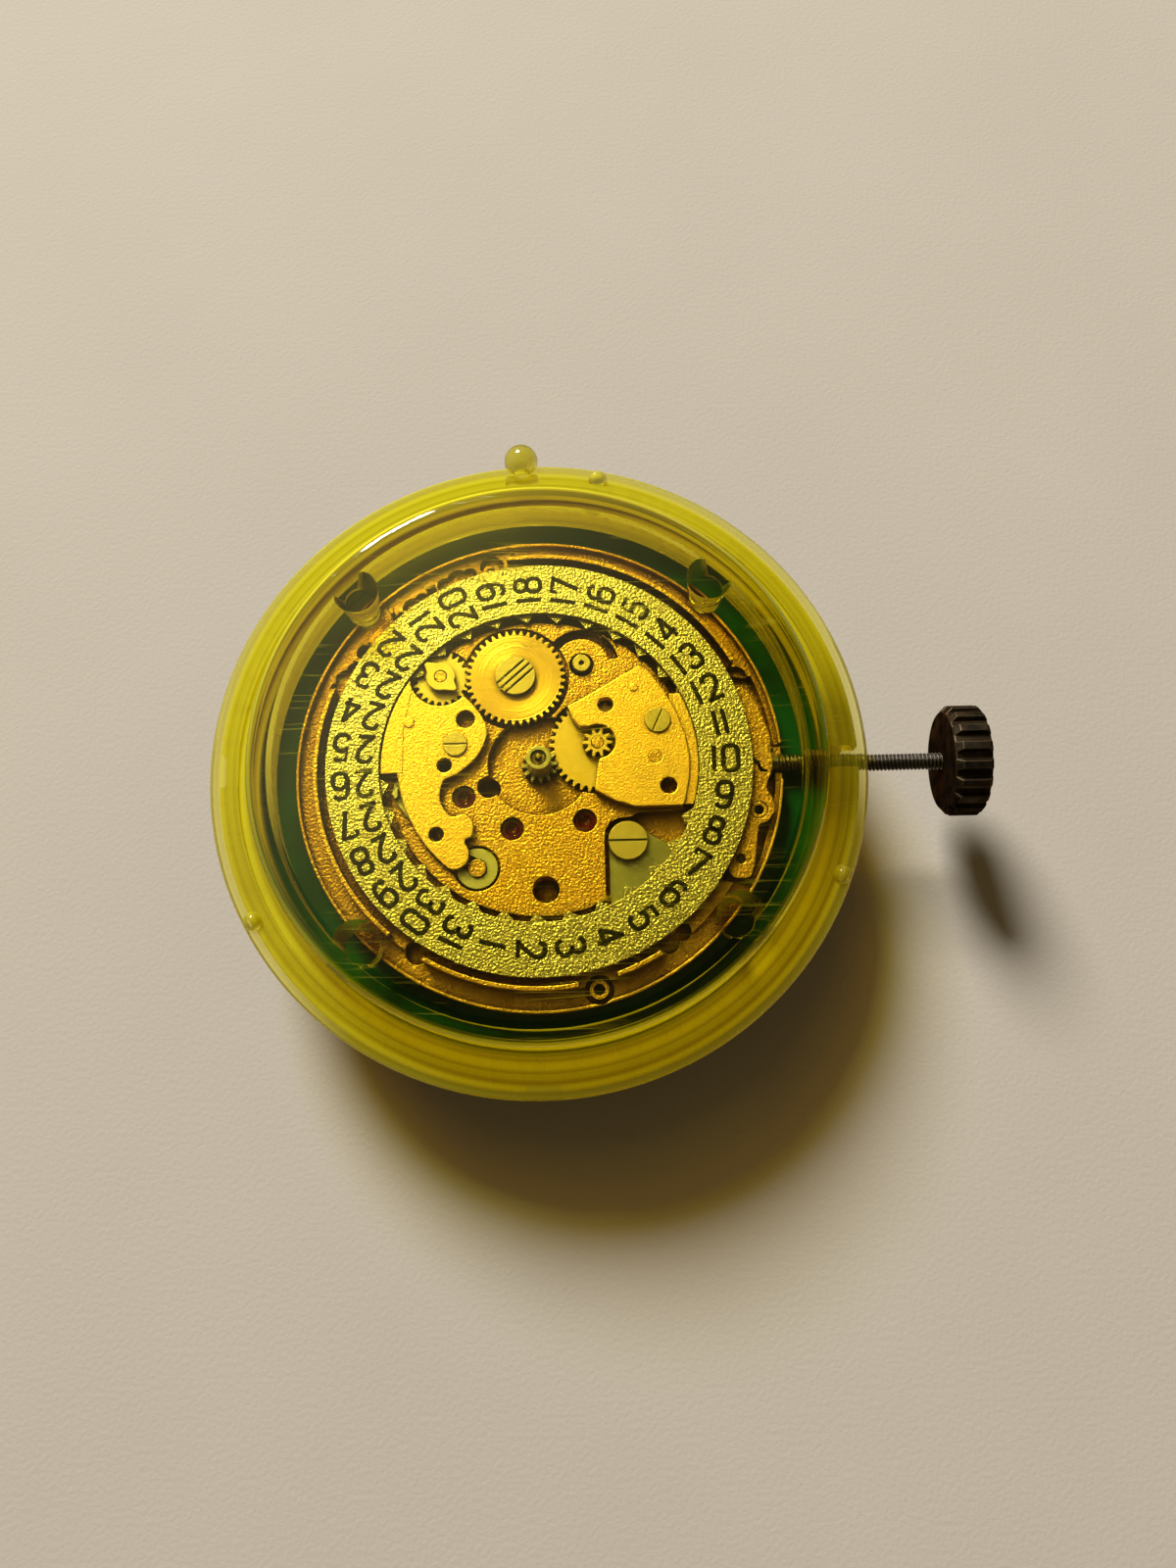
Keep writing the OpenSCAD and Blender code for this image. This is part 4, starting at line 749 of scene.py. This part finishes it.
def clear_plastic(name, density, scratches, flat_tint, wall_tint, **glow_amounts):
    material, tree, shader = new_material(name)
    marks = place_group(tree, scratch_group, Amount=scratches).outputs["Scratches"]
    clouds = place_group(tree, grain_group, Grain_size_mm=0.3, Cloud_size_mm=4.0)
    shader.inputs["Base Color"].default_value = (1.0, 0.98, 0.86, 1.0)
    shader.inputs["Transmission Weight"].default_value = 1.0
    shader.inputs["IOR"].default_value = 1.5
    haze = map_range(tree, clouds.outputs["Clouds"], 0.45, 0.75, 0.012, 0.05)
    join(tree, calc(tree, "MAXIMUM", haze, map_range(tree, marks, 0.0, 1.0, 0.0, 0.35)),
         shader.inputs["Roughness"])
    join(tree, bump(tree, marks, SCRATCH_DEPTH), shader.inputs["Normal"])

    upright, radius, from_lamp, from_stem = places(tree)
    flatness = map_range(tree, upright, 0.35, 0.9, 0.0, 1.0)
    body = add_node(tree, "ShaderNodeMixShader")
    join(tree, glow_share(tree, flatness, radius, from_lamp, from_stem, marks, **glow_amounts),
         body.inputs["Fac"])
    join(tree, shader.outputs["BSDF"], body.inputs[1])
    join(tree, glow_shader(tree, flatness), body.inputs[2])

    passing = add_node(tree, "ShaderNodeBsdfTransparent")
    join(tree, mix_colours(tree, flatness, wall_tint, flat_tint), passing.inputs["Color"])
    path = add_node(tree, "ShaderNodeLightPath")
    lighting = calc(tree, "MAXIMUM", path.outputs["Is Shadow Ray"],
                    path.outputs["Is Diffuse Ray"])
    mix = add_node(tree, "ShaderNodeMixShader")
    join(tree, calc(tree, "MAXIMUM", lighting, far_chamfer(tree, upright, radius, from_lamp)),
         mix.inputs["Fac"])
    join(tree, body.outputs["Shader"], mix.inputs[1])
    join(tree, passing.outputs["BSDF"], mix.inputs[2])
    absorb = add_node(tree, "ShaderNodeVolumeAbsorption",
                      {"Color": ABSORBED, "Density": density})
    surface = tree.nodes["Material Output"]
    join(tree, mix.outputs["Shader"], surface.inputs["Surface"])
    join(tree, absorb.outputs["Volume"], surface.inputs["Volume"])
    return material


lid_plastic = clear_plastic(
    "lid plastic", 1100.0, 0.8, flat_tint=(0.97, 0.95, 0.74), wall_tint=(0.62, 0.56, 0.16),
    inside=0.001, in_rim=0.43, at_scuff=0.02, on_walls=0.13, wall_share=0.45)
base_plastic = clear_plastic(
    "base plastic", 1600.0, 0.3, flat_tint=(0.50, 0.43, 0.14), wall_tint=(0.34, 0.29, 0.11),
    inside=0.03, in_rim=0.60, at_scuff=0.1, on_walls=0.0, wall_share=0.3)
print(lid_plastic.name, "and", base_plastic.name, "made")

# %% [markdown]
# The holder is moulded in a green, opaque plastic with a faint satin texture from the
# mould. The battery cup, the chip and the trimmer are other plain mouldings.

# %% Recipe: moulded plastic
MOULD_GRAIN, MOULD_DEPTH, MOULD_EDGE = 0.15, 0.0015, 0.08
SATIN = 0.06


def moulded(name, tone, dark_tone, roughness):
    material, tree, shader = new_material(name)
    edge_node = place_group(tree, edges_group, Radius=MOULD_EDGE * MM)
    grain_node = place_group(tree, grain_group, Grain_size_mm=MOULD_GRAIN, Cloud_size_mm=3.0)
    cloud_mask = map_range(tree, grain_node.outputs["Clouds"], 0.35, 0.65, 0.0, 1.0)
    join(tree, mix_colours(tree, cloud_mask, dark_tone, tone), shader.inputs["Base Color"])
    rough = map_range(tree, grain_node.outputs["Grain"], 0.3, 0.7,
                      roughness - SATIN, roughness + SATIN)
    join(tree, rough, shader.inputs["Roughness"])
    join(tree, bump(tree, grain_node.outputs["Grain"], MOULD_DEPTH,
                    edge_node.outputs["Normal"]), shader.inputs["Normal"])
    shader.inputs["Specular IOR Level"].default_value = 0.06
    return material


tray_green = moulded("tray green", (0.002, 0.085, 0.07), (0.001, 0.045, 0.038), 0.5)
resin_black = moulded("resin black", (0.03, 0.03, 0.032), (0.015, 0.015, 0.016), 0.5)
cup_black = moulded("cup black", (0.06, 0.06, 0.065), (0.035, 0.035, 0.04), 0.48)
trimmer_cream = moulded("trimmer cream", (0.80, 0.77, 0.66), (0.70, 0.66, 0.54), 0.4)
print("mouldings made")

# %% [markdown]
# The jewels are synthetic ruby: a red, polished, slightly see-through stone. The coil is
# wound with fine lacquered copper wire, whose turns are bands along the coil. The board
# is green lacquer over gilt tracks.

# %% Ruby, copper wire and circuit board
RELIEF = 0.02
ruby, tree, shader = new_material("ruby")
inner = place_group(tree, grain_group, Grain_size_mm=0.2, Cloud_size_mm=0.5)
join(tree, mix_colours(tree, inner.outputs["Clouds"], (0.03, 0.002, 0.008), (0.12, 0.008, 0.03)),
     shader.inputs["Base Color"])
join(tree, map_range(tree, inner.outputs["Grain"], 0.3, 0.7, 0.08, 0.16),
     shader.inputs["Roughness"])
shader.inputs["IOR"].default_value = 1.76

copper_wire, tree, shader = new_material("copper wire")
bands = add_node(tree, "ShaderNodeTexWave",
                 {"Scale": 2600.0, "Distortion": 0.4, "Detail Scale": 2.0},
                 bands_direction="X")
join(tree, object_place(tree), bands.inputs["Vector"])
join(tree, mix_colours(tree, bands.outputs["Fac"], (0.32, 0.10, 0.03), (0.86, 0.42, 0.18)),
     shader.inputs["Base Color"])
shader.inputs["Metallic"].default_value = 1.0
join(tree, map_range(tree, bands.outputs["Fac"], 0.0, 1.0, 0.45, 0.26),
     shader.inputs["Roughness"])
join(tree, bump(tree, bands.outputs["Fac"], RELIEF), shader.inputs["Normal"])

board_green, tree, shader = new_material("board green")
tracks = add_node(tree, "ShaderNodeTexBrick",
                  {"Scale": 330.0, "Mortar Size": 0.06, "Mortar Smooth": 0.1, "Brick Width": 0.8,
                   "Row Height": 0.3})
join(tree, object_place(tree), tracks.inputs["Vector"])
lacquer = place_group(tree, grain_group, Grain_size_mm=0.1, Cloud_size_mm=2.0)
green = mix_colours(tree, lacquer.outputs["Clouds"], (0.03, 0.16, 0.07), (0.07, 0.30, 0.14))
join(tree, mix_colours(tree, tracks.outputs["Fac"], green, (0.74, 0.58, 0.22)),
     shader.inputs["Base Color"])
join(tree, map_range(tree, tracks.outputs["Fac"], 0.0, 1.0, 0.4, 0.25),
     shader.inputs["Roughness"])
join(tree, bump(tree, tracks.outputs["Fac"], RELIEF), shader.inputs["Normal"])
print("all finishes made:", len(bpy.data.materials))

# %% [markdown]
# Each solid now gets its finish. A solid's first material slot is simply given the new
# material. The list is written by piece, as a parts list would be.

# %% Dress the solids
FINISHES = {
    "capsule_base": base_plastic, "capsule_lid": lid_plastic, "holder_tray": tray_green,
    "main_plate": gilt_plate, "train_bridge": gilt_bridge, "minute_bridge": gilt_bridge,
    "jumper_plate": gilt_bridge, "date_ring": silvered, "date_drive_wheel": drive_gilt,
    "date_finger_wheel": finger_brass, "minute_wheel": minute_brass, "step_wheel": train_brass,
    "seconds_wheel": train_brass, "third_wheel": train_brass, "centre_wheel": train_brass,
    "date_jumper": spring_steel, "jumper_spring": spring_steel, "drive_wheel_screw": screw_steel,
    "corrector_post": screw_steel, "corrector_screw": screw_steel, "bridge_screws": screw_steel,
    "back_screws": screw_steel, "cannon_pinion": pinion_steel, "setting_wheel": pinion_steel,
    # The setting jumper takes the darker plate gilt as painted shade, because it lies low.
    "setting_jumper": gilt_plate, "clutch_wheel": pinion_steel, "corrector_lever": lever_steel,
    "setting_lever": lever_steel, "yoke": lever_steel, "winding_stem": stem_steel,
    "crown": crown_bronze, "dial_jewels": ruby, "back_jewels": ruby, "rotor": magnet_metal,
    "stator": core_metal, "coil_core": core_metal, "coil_winding": copper_wire,
    "circuit_board": board_green, "ic_block": resin_black, "crystal_can": nickel,
    "trimmer": trimmer_cream, "battery_cell": nickel, "battery_cup": cup_black,
    "battery_clamp": clamp_metal,
}
for name, solid in solids.items():
    solid.data.materials.clear()
    solid.data.materials.append(FINISHES[name])
numbers.data.materials.append(ink_black)
stem_piece.data.materials.append(stem_steel)
print(len(solids), "solids dressed,", sorted(set(solids) - set(FINISHES)), "left")

# %% [markdown]
# The capsule stands on a sheet of warm white paper. The paper is a plane far wider than
# the view, with a faint fibre in its colour and its bump.

# %% The paper
PAPER_HALF = 1.5
PAPER_TOP = -0.03
sheet = bmesh.new()
bmesh.ops.create_grid(sheet, x_segments=1, y_segments=1, size=PAPER_HALF)
paper_mesh = bpy.data.meshes.new("paper")
sheet.to_mesh(paper_mesh)
sheet.free()
paper = bpy.data.objects.new("paper", paper_mesh)
bpy.context.scene.collection.objects.link(paper)
paper.location = mm(0, 0, PAPER_TOP)
paper_white, tree, shader = new_material("paper white")
fibre = place_group(tree, grain_group, Grain_size_mm=0.25, Cloud_size_mm=14.0)
join(tree, mix_colours(tree, fibre.outputs["Clouds"], (0.60, 0.54, 0.44),
                       (0.65, 0.59, 0.485)), shader.inputs["Base Color"])
shader.inputs["Roughness"].default_value = 0.9
join(tree, bump(tree, fibre.outputs["Grain"], RELIEF), shader.inputs["Normal"])
paper.data.materials.append(paper_white)
print("paper laid at", PAPER_TOP, "mm")

# %% [markdown]
# The photograph has one lamp low at the upper left, which throws the crown's shadow far
# to the lower right. The room around is dark and warm, with a pale wall on the lamp's
# side. The metal shows little but the lamp and that wall, so it shines at the upper left
# and dims towards the lower right.

# %% The lamp
LAMP_AIM = mm(0, 0, 5)
LAMP_TOWARDS = Vector((-3.0, 6.8, 5.7)).normalized()
LAMP_DISTANCE, LAMP_SIZE, LAMP_WATTS = 0.9, 0.32, 10.8
lamp = bpy.data.lights.new("low lamp", "AREA")
lamp.shape = "DISK"
lamp.size = LAMP_SIZE
lamp.energy = LAMP_WATTS
lamp.color = (1.0, 0.98, 0.96)
lamp_holder = bpy.data.objects.new("low lamp", lamp)
lamp_holder.location = LAMP_AIM + LAMP_TOWARDS * LAMP_DISTANCE
lamp_holder.rotation_mode = "QUATERNION"
lamp_holder.rotation_quaternion = LAMP_TOWARDS.to_track_quat("Z", "Y")
bpy.context.scene.collection.objects.link(lamp_holder)
print("lamp of", LAMP_WATTS, "W at", LAMP_DISTANCE, "m")

# %% [markdown]
# What the metal and the plastic mirror is the room with its pale wall. What lights matt
# faces from all sides is a weaker, even brown, so that the shadows stay dark.

# %% The room
TO_WALL = (-1.0, 1.0, 0.0)
ROOM_DARK, ROOM_WALL = (0.05, 0.039, 0.026), (0.66, 0.58, 0.40)
ROOM_FILL = (0.09, 0.066, 0.03)
world = bpy.data.worlds.new("room")
bpy.context.scene.world = world
world.use_nodes = True
tree = world.node_tree
background = tree.nodes["Background"]
lean = calc_vector(tree, "DOT_PRODUCT",
                   add_node(tree, "ShaderNodeTexCoord").outputs["Generated"], TO_WALL)
seen = mix_colours(tree, map_range(tree, lean, 0.26, 0.52, 0.0, 1.0), ROOM_DARK, ROOM_WALL)
path = add_node(tree, "ShaderNodeLightPath")
glossy_or_camera = calc(tree, "MAXIMUM", path.outputs["Is Camera Ray"],
                        path.outputs["Is Glossy Ray"])
shown = calc(tree, "MAXIMUM", glossy_or_camera, path.outputs["Is Transmission Ray"])
join(tree, mix_colours(tree, shown, ROOM_FILL, seen), background.inputs["Color"])
print("world", world.name)

# %% [markdown]
# The camera stands where the photographer's phone was: almost above the object, 15
# degrees off the vertical, and slightly rolled. The numbers were found by fitting known
# circles of the movement to the photograph.

# %% Camera
AIM = mm(2.52, -1.159, 7.0)
DISTANCE = 63.117 * MM
ELEVATION, ROLL = math.radians(74.99), math.radians(-1.338)
SENSOR = 36
NEAR_CLIP = 1 * MM
FOCAL_PIXELS, PHOTO_PIXELS = 1240, 1600
back = Vector((0, -math.cos(ELEVATION), math.sin(ELEVATION)))
right = Vector((1, 0, 0))
up = back.cross(right)
rolled_right = right * math.cos(ROLL) + up * math.sin(ROLL)
rolled_up = up * math.cos(ROLL) - right * math.sin(ROLL)
camera = bpy.data.cameras.new("camera")
camera.sensor_width = SENSOR
camera.lens = FOCAL_PIXELS * SENSOR / PHOTO_PIXELS
camera.clip_start = NEAR_CLIP
holder = bpy.data.objects.new("camera", camera)
holder.matrix_world = Matrix.Translation(AIM + back * DISTANCE) @ Matrix(
    (rolled_right, rolled_up, back)).transposed().to_4x4()
bpy.context.scene.collection.objects.link(holder)
bpy.context.scene.camera = holder
bpy.context.scene.view_settings.view_transform = "Standard"
place_mm = [round(value / MM, 2) for value in holder.location]
print("camera at", place_mm, "mm, lens", round(camera.lens, 1))

# %% [markdown]
# Last, the view layer is updated.

# %% Update the view layer
bpy.context.view_layer.update()
